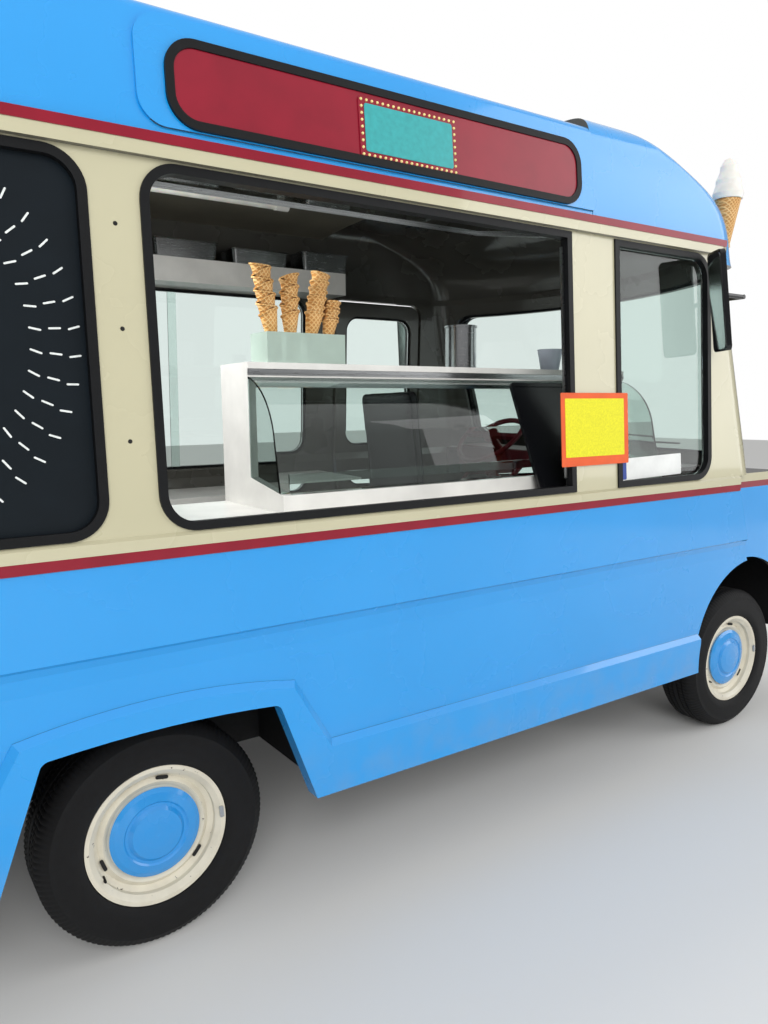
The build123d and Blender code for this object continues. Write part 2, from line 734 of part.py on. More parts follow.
def door_prism(gap, swing_gap, inset=0.0, mode=Mode.SUBTRACT):
    """The driver's door's outline as a prism through the left wall, in the part that is open."""
    with BuildSketch(Plane.XZ.offset(-CORNER_Y + WALL)) as face:
        rounded(
            (DOOR_X[0] - swing_gap + inset, DOOR_Z[0] - gap + inset),
            (DOOR_X[1] + gap - inset, DOOR_Z[1] + gap - inset),
            DOOR_R + gap - inset,
        )
    extrude(face.sketch, amount=-6 * WALL, mode=mode)


def lower_side(side):
    """One side wall from the skirt to the belt."""
    with BuildPart() as wall:
        along_side(LOWER_SECTION, side, (CORNER_X, SIDE_FRONT_LOW[0] + 20))
        with BuildSketch(Plane.XZ.offset(-side * LOWER_W)):
            skirt_band(CORNER_X, SKIRT_FRONT_X)
        extrude(amount=-side * (SKIRT_W - LOWER_W))
        ledge = wall.faces().sort_by(Axis.Y)[-1 if side > 0 else 0].edges()
        ledge_rim = ledge.filter_by(lambda edge: edge.center().Z > SKIRT_Z + 100 and edge.length > 170)
        chamfer(ledge_rim, LEDGE_SLOPE)
        with BuildSketch(Plane.XZ.offset(-side * CORNER_Y)):
            rear_arch()
            with Locations((FRONT_ARCH_X, FRONT_ARCH_Z)):
                Circle(FRONT_ARCH_R)
            rectangle((SKIRT_FRONT_X, 0), (FRONT_ARCH_X + FRONT_ARCH_R, FRONT_ARCH_Z))
            outline(
                [
                    (SIDE_FRONT_TOP_X, BELT_Z),
                    SIDE_FRONT_LOW,
                    (SIDE_FRONT_LOW[0] + 60, SIDE_FRONT_LOW[1] - 60),
                    (SIDE_FRONT_LOW[0] + 60, BELT_Z),
                ]
            )
        extrude(amount=-side * 2 * CORNER_R, mode=Mode.SUBTRACT)
        if side > 0:
            door_prism(DOOR_GAP, DOOR_SWING_GAP)
    return wall.part


for place, side in (("right", -1), ("left", 1)):
    save(lower_side(side), f"lower_side_{place}")


# Side walls from the belt to the roof, with their windows
def upper_side(side):
    """One side wall from the belt to the roof."""
    with BuildPart() as wall:
        along_side(UPPER_SECTION, side, (CORNER_X, FRONT_X))
        for plane, draw in WINDOWS[side > 0 : 4 : 2]:
            pierce(plane, draw)
        if side > 0:
            door_prism(DOOR_GAP, DOOR_SWING_GAP)
    return wall.part


for place, side in (("right", -1), ("left", 1)):
    save(upper_side(side), f"upper_side_{place}")

# Rear wall with its rounded corners, window, and slots for the bumper's brackets
BRACKET_SLOT = 3  # clearance of a bracket in its slot

with BuildPart() as rear_wall:
    for section in (LOWER_SECTION, UPPER_SECTION, SKIRT_SECTION):
        round_rear(section)
    pierce(*WINDOWS[4])
    for side in (-1, 1):
        half = BRACKET_W / 2 + BRACKET_SLOT
        block(
            (BODY_BACK - 1, side * RAIL_Y - half, BRACKET_Z[0] - BRACKET_SLOT),
            (FRAME_X[0], side * RAIL_Y + half, BRACKET_Z[1] + BRACKET_SLOT),
            Mode.SUBTRACT,
        )
save(rear_wall.part, "rear_wall")

# Crimson stripes: a moulding under the belt and a drip rail at the foot of the roof
RAIL_STRIPE_T = 10
STRIPE_END_X = FRONT_AXLE - 292
ROOF_STRIPE_SECTION = (
    (ROOF_W, ROOF_Z),
    (ROOF_W + RAIL_STRIPE_T, ROOF_Z),
    (ROOF_W + RAIL_STRIPE_T, ROOF_Z + ROOF_STRIPE_H),
    (ROOF_W, ROOF_Z + ROOF_STRIPE_H),
)

with BuildPart() as stripes:
    round_rear(BELT_STRIPE_SECTION)
    along_side(BELT_STRIPE_SECTION, -1, (CORNER_X, SIDE_FRONT_TOP_X))
    along_side(BELT_STRIPE_SECTION, 1, (CORNER_X, DOOR_X[0] - DOOR_SWING_GAP))
    along_side(BELT_STRIPE_SECTION, 1, (DOOR_X[1] + DOOR_GAP + HINGE_LEAF, SIDE_FRONT_TOP_X))
    for side in (-1, 1):
        along_side(ROOF_STRIPE_SECTION, side, (CORNER_X, STRIPE_END_X))
save(stripes.part, "stripes")

# Main roof: a shell open at the front, with a raised pad on each side for the sign
ROOF_BACK = CORNER_X - (ROOF_W - CORNER_Y) + 4
ROOF_BACK_R = 88
ROOF_EDGE_R = 26


def roof_arch(x, inset):
    """The roof's cross-section at one place, inset from its outer face."""
    with BuildSketch(Plane.YZ.offset(x)) as arch:
        with BuildLine() as line:
            side = Polyline(
                (ROOF_TOP_W - inset, ROOF_EDGE_Z - inset),
                (ROOF_W - inset, ROOF_Z),
                (-ROOF_W + inset, ROOF_Z),
                (-ROOF_TOP_W + inset, ROOF_EDGE_Z - inset),
            )
            ThreePointArc(side @ 1, (0, ROOF_EDGE_Z + ROOF_CROWN - inset), side @ 0)
        make_face(line.edges())
    return arch.sketch


with BuildPart() as roof:
    extrude(roof_arch(ROOF_BACK, 0), amount=CAP_X - ROOF_BACK)
    back = roof.faces().sort_by(Axis.X)[0].edges().sort_by(Axis.Z)
    fillet(back[1:3], ROOF_BACK_R)
    crown_edges = roof.faces().sort_by(Axis.Z)[-1].edges()
    fillet(crown_edges.filter_by(lambda edge: edge.center().X < CAP_X - 1), ROOF_EDGE_R)
    extrude(roof_arch(ROOF_BACK + WALL, WALL), amount=CAP_X - ROOF_BACK - WALL, mode=Mode.SUBTRACT)
    for side in (-1, 1):
        plane = roof_plane(side)
        with BuildSketch(plane):
            rounded(
                (-side * PAD_X[0], PAD_Z[0] - ROOF_Z),
                (-side * (CAP_X + PAD_R), PAD_Z[1] - ROOF_Z),
                PAD_R,
            )
        extrude(amount=PAD_T)
    split(bisect_by=Plane.YZ.offset(CAP_X), keep=Keep.BOTTOM)
save(roof.part, "roof")

# Roof signs: a plain crimson panel in a black rubber on each side
with BuildPart() as sign_rubber:
    for side in (-1, 1):
        low, high = (-side * SIGN_X[0], SIGN_Z[0] - ROOF_Z), (-side * SIGN_X[1], SIGN_Z[1] - ROOF_Z)
        with BuildSketch(roof_plane(side).offset(PAD_T)):
            rounded(low, high, SIGN_R)
            with Locations(((low[0] + high[0]) / 2, (low[1] + high[1]) / 2)):
                RectangleRounded(
                    abs(high[0] - low[0]) - 2 * SIGN_RUBBER,
                    high[1] - low[1] - 2 * SIGN_RUBBER,
                    SIGN_R - SIGN_RUBBER,
                    mode=Mode.SUBTRACT,
                )
        extrude(amount=SIGN_RUBBER_T)
save(sign_rubber.part, "sign_rubber")

with BuildPart() as sign_panels:
    for side in (-1, 1):
        low, high = (-side * SIGN_X[0], SIGN_Z[0] - ROOF_Z), (-side * SIGN_X[1], SIGN_Z[1] - ROOF_Z)
        with BuildSketch(roof_plane(side).offset(PAD_T)):
            rounded(low, high, SIGN_R, -SIGN_RUBBER - SEAT)
        extrude(amount=SIGN_T)
save(sign_panels.part, "sign_panels")


# Domed front of the roof: plans that shrink and round off upwards, hollow, open at the back
def dome(inset, back_x=CAP_X):
    """The dome's solid form, inset from its outer face."""
    plans = []
    for height, half_width, corner_x, centre_x, radius in CAP_PLANS:
        drop = 0 if height == CAP_PLANS[0][0] else inset
        with BuildSketch(Plane.XY.offset(height - drop)) as plan:
            bowed_plan(half_width - inset, back_x, corner_x - inset, centre_x - inset, radius - inset)
        plans.append(plan.sketch)
    with BuildPart() as form:
        loft(plans)
    return form.part


# Windscreen surround: leaning walls with a bowed front, a window, and the cant band on top
def screen_plan(z, inset):
    """The surround's plan at one height, inset from its outer face."""
    share = (z - SILL_Z) / (CANT_Z - SILL_Z)
    with BuildSketch(Plane.XY.offset(z)) as plan:
        bowed_plan(
            SILL_W + share * (CANT_W - SILL_W) - inset,
            FRONT_X,
            SCREEN_CORNER_X - share * SCREEN_RAKE - inset,
            SCREEN_CENTRE_X - share * SCREEN_RAKE - inset,
            SCREEN_CORNER_R - inset,
        )
    return plan.sketch


def screen_form(inset):
    """The surround's solid form, inset from its outer face."""
    with BuildPart() as form:
        loft([screen_plan(SILL_Z, inset), screen_plan(CANT_Z, inset)], ruled=True)
    return form.part


def screen_prism(grow, mode):
    """The windscreen's outline as a prism along the truck, in the part that is open."""
    with BuildSketch(Plane.YZ.offset(FRONT_X + 100)) as face:
        rounded((-SCREEN_HALF, SCREEN_Z[0]), (SCREEN_HALF, SCREEN_Z[1]), SCREEN_R, grow)
    extrude(face.sketch, amount=WHEELBASE, mode=mode)


with BuildPart() as windscreen_surround:
    add(screen_form(0))
    extrude(screen_plan(CANT_Z, CANT_W - CANT_BAND_W), amount=CANT_H)
    add(screen_form(WALL), mode=Mode.SUBTRACT)
    extrude(screen_plan(CANT_Z, WALL), amount=CANT_H, mode=Mode.SUBTRACT)
    screen_prism(0, Mode.SUBTRACT)
    for side in (-1, 1):
        along_side(BELT_SECTION, side, (FRONT_X, SIDE_FRONT_TOP_X))
save(windscreen_surround.part, "windscreen_surround")

# The cap sits on the roof's end, the cant bands and the surround, with a lip down over the windscreen
with BuildPart() as roof_cap:
    add(dome(0))
    add(dome(WALL, CAP_X + CAP_FLANGE), mode=Mode.SUBTRACT)
    extrude(roof_arch(CAP_X, WALL), amount=CAP_FLANGE + 1, mode=Mode.SUBTRACT)
    with BuildSketch(Plane.XY.offset(ROOF_Z - CANT_H)) as well:
        bowed_plan(
            CANT_W - WALL,
            CAP_X,
            SCREEN_CORNER_X - SCREEN_RAKE - WALL,
            SCREEN_CENTRE_X - SCREEN_RAKE - WALL,
            SCREEN_CORNER_R - WALL,
        )
    extrude(well.sketch, amount=CANT_H + CAP_FLANGE + 1, mode=Mode.SUBTRACT)
    block((CAP_X - 1, -SKIRT_W, SILL_Z), (CAP_LIP_X, SKIRT_W, ROOF_Z), Mode.SUBTRACT)
    with BuildSketch(Plane.XY.offset(CAP_PLANS[0][0] - 1)) as brow:
        bowed_plan(
            CANT_BAND_W + SEAT,
            CAP_X,
            SCREEN_CORNER_X - SCREEN_RAKE + CANT_BAND_W - CANT_W + SEAT,
            SCREEN_CENTRE_X - SCREEN_RAKE + CANT_BAND_W - CANT_W + SEAT,
            SCREEN_CORNER_R + CANT_BAND_W - CANT_W + SEAT,
        )
    extrude(brow.sketch, amount=ROOF_Z - CAP_PLANS[0][0] + 1, mode=Mode.SUBTRACT)
save(roof_cap.part, "roof_cap")

with BuildPart() as wall_zone:
    add(screen_form(-SEAT))
    screen_prism(-SEAT, Mode.SUBTRACT)

with BuildPart() as screen_seal:
    add(screen_form(-SEAL_PROUD))
    add(screen_form(SEAL_DEPTH), mode=Mode.SUBTRACT)
    screen_prism(SEAL_LIP, Mode.INTERSECT)
    screen_prism(-SEAL_IN, Mode.SUBTRACT)
    add(wall_zone.part, mode=Mode.SUBTRACT)

with BuildPart() as window_seals:
    for plane, draw in WINDOWS:
        add(window_seal(plane, draw))
    add(screen_seal.part)
save(window_seals.part, "window_seals")

# Glass: the windscreen, the fixed panes, and the hatch glass folded up inside the opening
with BuildPart() as windscreen:
    add(screen_form(GLASS_BACK - 8))
    add(screen_form(GLASS_BACK - 8 + GLASS), mode=Mode.SUBTRACT)
    screen_prism(-SEAL_IN - SEAT, Mode.INTERSECT)
save(windscreen.part, "windscreen")

SLIDER_X = (HATCH_X[0] + HATCH_X[1]) / 2  # where the left hatch's two panes meet
SLIDER_LAP = 20
SLIDER_STEP = 9


def trim_along(x_range):
    """Keeps a stretch of the truck's length of the part that is open."""
    block((x_range[0], -2 * SKIRT_W, 0), (x_range[1], 2 * SKIRT_W, 3 * SKIRT_W), Mode.INTERSECT)


PANES = (  # (window, back edge, front edge, depth of the outer face)
    (0, CAB_X[0], CAB_X[1], GLASS_BACK),
    (1, HATCH_X[0], SLIDER_X + SLIDER_LAP, GLASS_BACK),
    (1, SLIDER_X - SLIDER_LAP, HATCH_X[1], GLASS_BACK - SLIDER_STEP),
    (4, BODY_BACK, CORNER_X, GLASS_BACK),
)



def pane(window, back, front, depth):
    """One pane of a window, between two places along the truck."""
    with BuildPart() as sheet:
        slab(*WINDOWS[window], -SEAL_IN - SEAT, -depth - GLASS, -depth)
        trim_along((back, front))
    return sheet.part


with BuildPart() as body_glass:
    for row in PANES:
        add(pane(*row))
save(body_glass.part, "body_glass")

HATCH_GLASS_X = (HATCH_X[0] + 30, HATCH_X[1] - 20)
HATCH_GLASS_Y = -CANT_W + WALL + 12
HATCH_GLASS_Z = CANT_Z - 21
HATCH_GLASS_DEPTH = 412
HATCH_GLASS_RISE = 11  # degrees above level, inwards
HATCH_FRAME = 22


def hatch_plane(up):
    """The folded glass's plane, with x along the truck and y inwards up its slope."""
    slope = Plane(origin=(0, HATCH_GLASS_Y, HATCH_GLASS_Z), x_dir=(1, 0, 0), z_dir=(0, 0, 1))
    return slope.rotated((HATCH_GLASS_RISE, 0, 0)).offset(up)


with BuildPart() as hatch_frame:
    with BuildSketch(hatch_plane(0)):
        rectangle((HATCH_GLASS_X[0], 0), (HATCH_GLASS_X[1], HATCH_GLASS_DEPTH))
        with Locations(((HATCH_GLASS_X[0] + HATCH_GLASS_X[1]) / 2, HATCH_GLASS_DEPTH / 2)):
            Rectangle(
                HATCH_GLASS_X[1] - HATCH_GLASS_X[0] - 2 * HATCH_FRAME,
                HATCH_GLASS_DEPTH - 2 * HATCH_FRAME,
                mode=Mode.SUBTRACT,
            )
    extrude(amount=HATCH_FRAME)
    for x in HATCH_GLASS_X:
        inward = HATCH_FRAME if x == HATCH_GLASS_X[0] else -HATCH_FRAME
        block(
            (x, -CANT_W + WALL + SEAT, HATCH_GLASS_Z + 2),
            (x + inward, HATCH_GLASS_Y + HATCH_FRAME / 2, HATCH_GLASS_Z + HATCH_FRAME),
        )
save(hatch_frame.part, "hatch_frame")

with BuildPart() as hatch_glass:
    inset = HATCH_FRAME + SEAT
    with BuildSketch(hatch_plane(8)):
        rectangle((HATCH_GLASS_X[0] + inset, inset), (HATCH_GLASS_X[1] - inset, HATCH_GLASS_DEPTH - inset))
    extrude(amount=GLASS)
save(hatch_glass.part, "hatch_glass")

# Chalkboards: plain dark panels that fill both quarter windows
BOARD_T = 9

with BuildPart() as chalkboards:
    for plane, draw in WINDOWS[2:4]:
        slab(plane, draw, -SEAL_IN - SEAT, -GLASS_BACK + 4 - BOARD_T, -GLASS_BACK + 4)
save(chalkboards.part, "chalkboards")


# Front cowl: wings, nose and scuttle in one moulding, with the bonnet's opening cut out of it
def nose_form(inset):
    """The nose's solid form, inset from its outer face."""
    with BuildPart() as form:
        with BuildSketch(Plane.XY.offset(NOSE_Z)):
            bowed_plan(
                COWL_W - inset,
                NOSE_BACK_X,
                NOSE_CORNER_X - inset,
                NOSE_CENTRE_X - inset,
                NOSE_CORNER_R - inset,
            )
        extrude(amount=SILL_Z - NOSE_Z)
        with BuildSketch(Plane.XZ):
            with BuildLine():
                Polyline(
                    (NOSE_BACK_X, NOSE_Z),
                    (NOSE_BACK_X, SILL_Z - inset),
                    (NOSE_FALL_X, SILL_Z - inset),
                    (NOSE_CENTRE_X + 20 - inset, NOSE_LIP_Z - inset),
                    (NOSE_CENTRE_X + 20 - inset, NOSE_Z),
                    close=True,
                )
            side_view = make_face()
            nose_corner = side_view.vertices().group_by(Axis.X)[-1].sort_by(Axis.Y)[-1]
            fillet(nose_corner, NOSE_LIP_R - inset)
        extrude(amount=COWL_W, both=True, mode=Mode.INTERSECT)
    return form.part


def nose_shell(outer, inner):
    """The nose's skin between two insets."""
    with BuildPart() as skin:
        add(nose_form(outer))
        add(nose_form(inner), mode=Mode.SUBTRACT)
    return skin.part


GRILLE_HALF = 430
GRILLE_Z = (640, 850)
GRILLE_R = 40
GRILLE_FRAME = 18
GRILLE_SLATS = 7
GRILLE_SLAT_H = 9
LAMP_Y = 640
LAMP_Z = 745
LAMP_R = 92
LAMP_RIM = 12
LAMP_BACK_X = FRONT_AXLE + 600
SIGNAL_Z = 600
SIGNAL_SIZE = (120, 52)
FACE_X = FRONT_AXLE + 560  # where cuts into the nose's face start


def slope_plane():
    """The plane of the falling bonnet, with x down the slope from where it starts to fall."""
    fall = Vector(NOSE_CENTRE_X + 20 - NOSE_FALL_X, 0, NOSE_LIP_Z - SILL_Z).normalized()
    return Plane(origin=(NOSE_FALL_X, 0, SILL_Z), x_dir=fall, z_dir=fall.cross(Vector(0, 1, 0)))


def bonnet_prism(grow, mode):
    """The bonnet's outline as a prism square to the slope, in the part that is open."""
    with BuildSketch(slope_plane().offset(-3 * COWL_WALL)) as plan:
        rounded((BONNET_ALONG[0], -BONNET_HALF_W), (BONNET_ALONG[1], BONNET_HALF_W), BONNET_R, grow)
    extrude(plan.sketch, amount=6 * COWL_WALL, mode=mode)


with BuildPart() as front_cowl:
    add(nose_shell(0, COWL_WALL))
    with BuildSketch(Plane.XZ.offset(COWL_W)):
        with Locations((FRONT_ARCH_X, FRONT_ARCH_Z)):
            Circle(FRONT_ARCH_R)
    extrude(amount=-2 * COWL_W, mode=Mode.SUBTRACT)
    bonnet_prism(BONNET_GAP, Mode.SUBTRACT)
    with BuildSketch(Plane.YZ.offset(FACE_X)):
        rounded((-GRILLE_HALF, GRILLE_Z[0]), (GRILLE_HALF, GRILLE_Z[1]), GRILLE_R)
        with Locations((-LAMP_Y, LAMP_Z), (LAMP_Y, LAMP_Z)):
            Circle(LAMP_R + SEAT)
    extrude(amount=WHEELBASE / 4, mode=Mode.SUBTRACT)
save(front_cowl.part, "front_cowl")

# Bonnet, hinged along its rear edge: each hinge has a pin held by the cowl and a knuckle on the bonnet
BONNET_HINGE_Y = (-400, 400)
BONNET_PIN_ALONG = BONNET_ALONG[0] - BONNET_GAP / 2
BONNET_PIN_UP = 8
BONNET_KNUCKLE_R = 8
BONNET_PIN_R = 4
BONNET_KNUCKLE_W = 36
BONNET_LEAF = 40
BONNET_LEAF_T = 4


def bonnet_hinge_plane(y):
    """A plane across one bonnet hinge, with x down the slope and y square to it."""
    slope = slope_plane()
    return Plane(origin=slope.origin + Vector(0, y, 0), x_dir=slope.x_dir, z_dir=(0, -1, 0))


with BuildPart() as bonnet:
    add(nose_shell(0, COWL_WALL))
    bonnet_prism(0, Mode.INTERSECT)
    for y in BONNET_HINGE_Y:
        with BuildSketch(bonnet_hinge_plane(y)):
            rectangle((BONNET_ALONG[0] + 1, -2), (BONNET_ALONG[0] + BONNET_LEAF, BONNET_LEAF_T))
            rectangle((BONNET_PIN_ALONG, 1), (BONNET_ALONG[0] + 2, BONNET_LEAF_T))
            with Locations((BONNET_PIN_ALONG, BONNET_PIN_UP)):
                Circle(BONNET_KNUCKLE_R - 1)
                Circle(BONNET_PIN_R + STUB_GAP, mode=Mode.SUBTRACT)
        extrude(amount=BONNET_KNUCKLE_W / 2, both=True)
save(bonnet.part, "bonnet")

# Grille: a frame and slats that follow the bow of the nose
with BuildPart() as bars:
    with BuildSketch(Plane.YZ.offset(FACE_X)):
        rounded((-GRILLE_HALF, GRILLE_Z[0]), (GRILLE_HALF, GRILLE_Z[1]), GRILLE_R, -SEAT)
        with Locations((0, (GRILLE_Z[0] + GRILLE_Z[1]) / 2)):
            RectangleRounded(
                2 * (GRILLE_HALF - GRILLE_FRAME),
                GRILLE_Z[1] - GRILLE_Z[0] - 2 * GRILLE_FRAME,
                GRILLE_R - GRILLE_FRAME,
                mode=Mode.SUBTRACT,
            )
        pitch = (GRILLE_Z[1] - GRILLE_Z[0]) / (GRILLE_SLATS + 1)
        for n in range(1, GRILLE_SLATS + 1):
            with Locations((0, GRILLE_Z[0] + n * pitch)):
                Rectangle(2 * (GRILLE_HALF - GRILLE_FRAME / 2), GRILLE_SLAT_H)
    extrude(amount=WHEELBASE / 4)

with BuildPart() as grille:
    add(nose_shell(-4, COWL_WALL - 6))
    add(bars.part, mode=Mode.INTERSECT)
save(grille.part, "grille")

# Headlamps: a bowl with a rim over the nose's hole, and a domed lens in front of it
LAMP_FACE_X = NOSE_CENTRE_X - 30  # the nose's face at the lamps
LENS_R = LAMP_R - LAMP_RIM
LENS_RISE = 22


def turn_lamp_part(side, points):
    """Turns a closed profile of (radius, x) about a headlamp's axis, in the part that is open."""
    with BuildSketch(Plane(origin=(0, side * LAMP_Y, LAMP_Z), x_dir=(0, 0, 1), z_dir=(0, 1, 0))) as profile:
        outline([(r, x) for r, x in points])
    revolve(profile.sketch, axis=Axis((0, side * LAMP_Y, LAMP_Z), (1, 0, 0)))


with BuildPart() as headlamps:
    for side in (-1, 1):
        turn_lamp_part(
            side,
            [
                (0, LAMP_BACK_X),
                (LAMP_R / 2, LAMP_BACK_X),
                (LAMP_R, LAMP_FACE_X - 30),
                (LAMP_R, LAMP_FACE_X + 26),
                (LAMP_R - 3, LAMP_FACE_X + 32),
                (LENS_R, LAMP_FACE_X + 28),
                (LENS_R, LAMP_FACE_X + 10),
                (LENS_R / 2, LAMP_FACE_X - 24),
                (0, LAMP_FACE_X - 34),
            ],
        )
save(headlamps.part, "headlamps")

with BuildPart() as headlamp_lenses:
    for side in (-1, 1):
        rim_r = LENS_R - SEAT
        turn_lamp_part(
            side,
            [
                (0, LAMP_FACE_X + 22),
                (rim_r, LAMP_FACE_X + 12),
                (rim_r, LAMP_FACE_X + 22),
                (0.8 * rim_r, LAMP_FACE_X + 12 + 0.75 * LENS_RISE),
                (0.5 * rim_r, LAMP_FACE_X + 12 + LENS_RISE),
                (0, LAMP_FACE_X + 14 + LENS_RISE),
            ],
        )
save(headlamp_lenses.part, "headlamp_lenses")

# Signal lamps: amber ones under the headlamps, and red and amber pairs on the rear wall
REAR_LAMP_Y = LOWER_W - 180
REAR_LAMP_Z = 700
REAR_LAMP_SIZE = (110, 240)
REAR_LAMP_T = 26
SIGNAL_T = 18

with BuildPart() as signal_zone:
    with BuildSketch(Plane.YZ.offset(FACE_X)):
        with Locations((-LAMP_Y, SIGNAL_Z), (LAMP_Y, SIGNAL_Z)):
            RectangleRounded(*SIGNAL_SIZE, 12)
    extrude(amount=WHEELBASE / 4)

with BuildPart() as signal_lamps:
    add(nose_form(-SIGNAL_T))
    add(nose_form(-SEAT), mode=Mode.SUBTRACT)
    add(signal_zone.part, mode=Mode.INTERSECT)
    with BuildSketch(Plane.YZ.offset(BODY_BACK + SKIRT_W - LOWER_W)):
        with Locations((-REAR_LAMP_Y, REAR_LAMP_Z), (REAR_LAMP_Y, REAR_LAMP_Z)):
            RectangleRounded(*REAR_LAMP_SIZE, 14)
    extrude(amount=-REAR_LAMP_T - SKIRT_W + LOWER_W)
save(signal_lamps.part, "signal_lamps")

# Bumpers: a bowed bar in front and a straight one with turned ends behind
BUMPER_HALF = LOWER_W

with BuildPart() as bumpers:
    for inset, mode in ((0, Mode.ADD), (BUMPER_T, Mode.SUBTRACT)):
        with BuildSketch(Plane.XY.offset(BUMPER_Z)):
            bowed_plan(
                BUMPER_HALF - inset,
                FRONT_AXLE + 470,
                NOSE_CORNER_X + 75 - inset,
                FRONT_AXLE + FRONT_REACH - inset,
                NOSE_CORNER_R - inset,
            )
        extrude(amount=BUMPER_H, mode=mode)
    with BuildSketch(Plane.XY.offset(BUMPER_Z)):
        rectangle((REAR_AXLE - REAR_REACH, -BUMPER_HALF), (REAR_BUMPER_FACE, BUMPER_HALF))
    extrude(amount=BUMPER_H)
    fillet(bumpers.edges().filter_by(Axis.Z).group_by(Axis.X)[0], BUMPER_T * 0.7)
save(bumpers.part, "bumpers")


# Driver's door: the left wall's own sections inside the doorway, thinner round the edge
def door_skin():
    """The left wall's sections at the door, with the stripe."""
    reach = (DOOR_X[0] - 1, DOOR_X[1] + 1)
    with BuildPart() as skin:
        for section in (LOWER_SECTION, UPPER_SECTION, BELT_STRIPE_SECTION):
            along_side(section, 1, reach)
    return skin.part


with BuildPart() as rebate:
    add(door_skin().moved(Location((0, -DOOR_FLANGE, 0))))
    door_prism(0, 0, DOOR_FLANGE, Mode.SUBTRACT)

with BuildPart() as driver_door:
    add(door_skin())
    door_prism(0, 0, 0, Mode.INTERSECT)
    add(rebate.part, mode=Mode.SUBTRACT)
    pierce(window_plane(1), door_window)
    for z in HINGE_Z:
        with BuildSketch(Plane.XY.offset(z)):
            rectangle((HINGE_X - HINGE_LEAF, HINGE_Y - HINGE_R), (HINGE_X, HINGE_Y - HINGE_R + HINGE_LEAF_T))
            rectangle((HINGE_X - HINGE_LEAF, LOWER_W - 4), (HINGE_X - HINGE_LEAF / 2, HINGE_Y - HINGE_R))
            with Locations((HINGE_X, HINGE_Y)):
                Circle(HINGE_R)
                Circle(HINGE_PIN_R + STUB_GAP, mode=Mode.SUBTRACT)
        extrude(amount=HINGE_H / 2, both=True)
save(driver_door.part, "driver_door")

with BuildPart() as hinges:
    for z in HINGE_Z:
        for foot in (z - HINGE_H, z + HINGE_H / 2 + SEAT):
            with BuildSketch(Plane.XY.offset(foot)):
                rectangle(
                    (HINGE_X, HINGE_Y - HINGE_R),
                    (HINGE_X + HINGE_LEAF, HINGE_Y - HINGE_R + HINGE_LEAF_T),
                )
                with Locations((HINGE_X, HINGE_Y)):
                    Circle(HINGE_R)
            extrude(amount=HINGE_H / 2 - SEAT)
        with BuildSketch(Plane.XY.offset(z - HINGE_H)):
            with Locations((HINGE_X, HINGE_Y)):
                Circle(HINGE_PIN_R)
        extrude(amount=2 * HINGE_H)
        seat_y = LOWER_W if z < CREASE_Z else UPPER_W + 2
        block(
            (HINGE_X + HINGE_LEAF / 2, seat_y, z - HINGE_H),
            (HINGE_X + HINGE_LEAF, HINGE_Y - HINGE_R + HINGE_LEAF_T, z + HINGE_H),
        )
    for y in BONNET_HINGE_Y:
        for offset in (-BONNET_KNUCKLE_W * 0.75 - SEAT, BONNET_KNUCKLE_W * 0.75 + SEAT):
            with BuildSketch(bonnet_hinge_plane(y + offset)):
                rectangle((BONNET_PIN_ALONG - BONNET_LEAF, SEAT), (BONNET_PIN_ALONG, BONNET_LEAF_T))
                with Locations((BONNET_PIN_ALONG, BONNET_PIN_UP)):
                    Circle(BONNET_KNUCKLE_R - SEAT)
            extrude(amount=BONNET_KNUCKLE_W / 4, both=True)
        with BuildSketch(bonnet_hinge_plane(y)):
            rectangle(
                (BONNET_PIN_ALONG - BONNET_LEAF, SEAT),
                (BONNET_PIN_ALONG - BONNET_LEAF / 2, BONNET_LEAF_T),
            )
        extrude(amount=BONNET_KNUCKLE_W, both=True)
        with BuildSketch(bonnet_hinge_plane(y)):
            with Locations((BONNET_PIN_ALONG, BONNET_PIN_UP)):
                Circle(BONNET_PIN_R)
        extrude(amount=BONNET_KNUCKLE_W, both=True)
save(hinges.part, "hinges")

with BuildPart() as door_glass:
    slab(window_plane(1), door_window, -SEAL_IN - SEAT, -GLASS_BACK - GLASS, -GLASS_BACK)
save(door_glass.part, "door_glass")
save(window_seal(window_plane(1), door_window), "door_seal")

# Mirrors: a tall narrow housing, turned in to the driver, on an arm from each windscreen pillar
MIRROR_X = FRONT_AXLE - 422
MIRROR_Y = CANT_W + 95
MIRROR_Z = (CANT_Z - 394, CANT_Z - 6)
MIRROR_W = 130
MIRROR_T = 20
MIRROR_R = 20
MIRROR_TURN = 35  # degrees
MIRROR_LEAN = 0.2  # how far the housing leans in over its height
MIRROR_ARM_R = 9
MIRROR_ARM_Y = CANT_W + 100
MIRROR_ARM_Z = CANT_Z - 176
MIRROR_ARM_X = FRONT_AXLE - 292
MIRROR_FOOT = (30, 90)
MIRROR_FOOT_T = 6

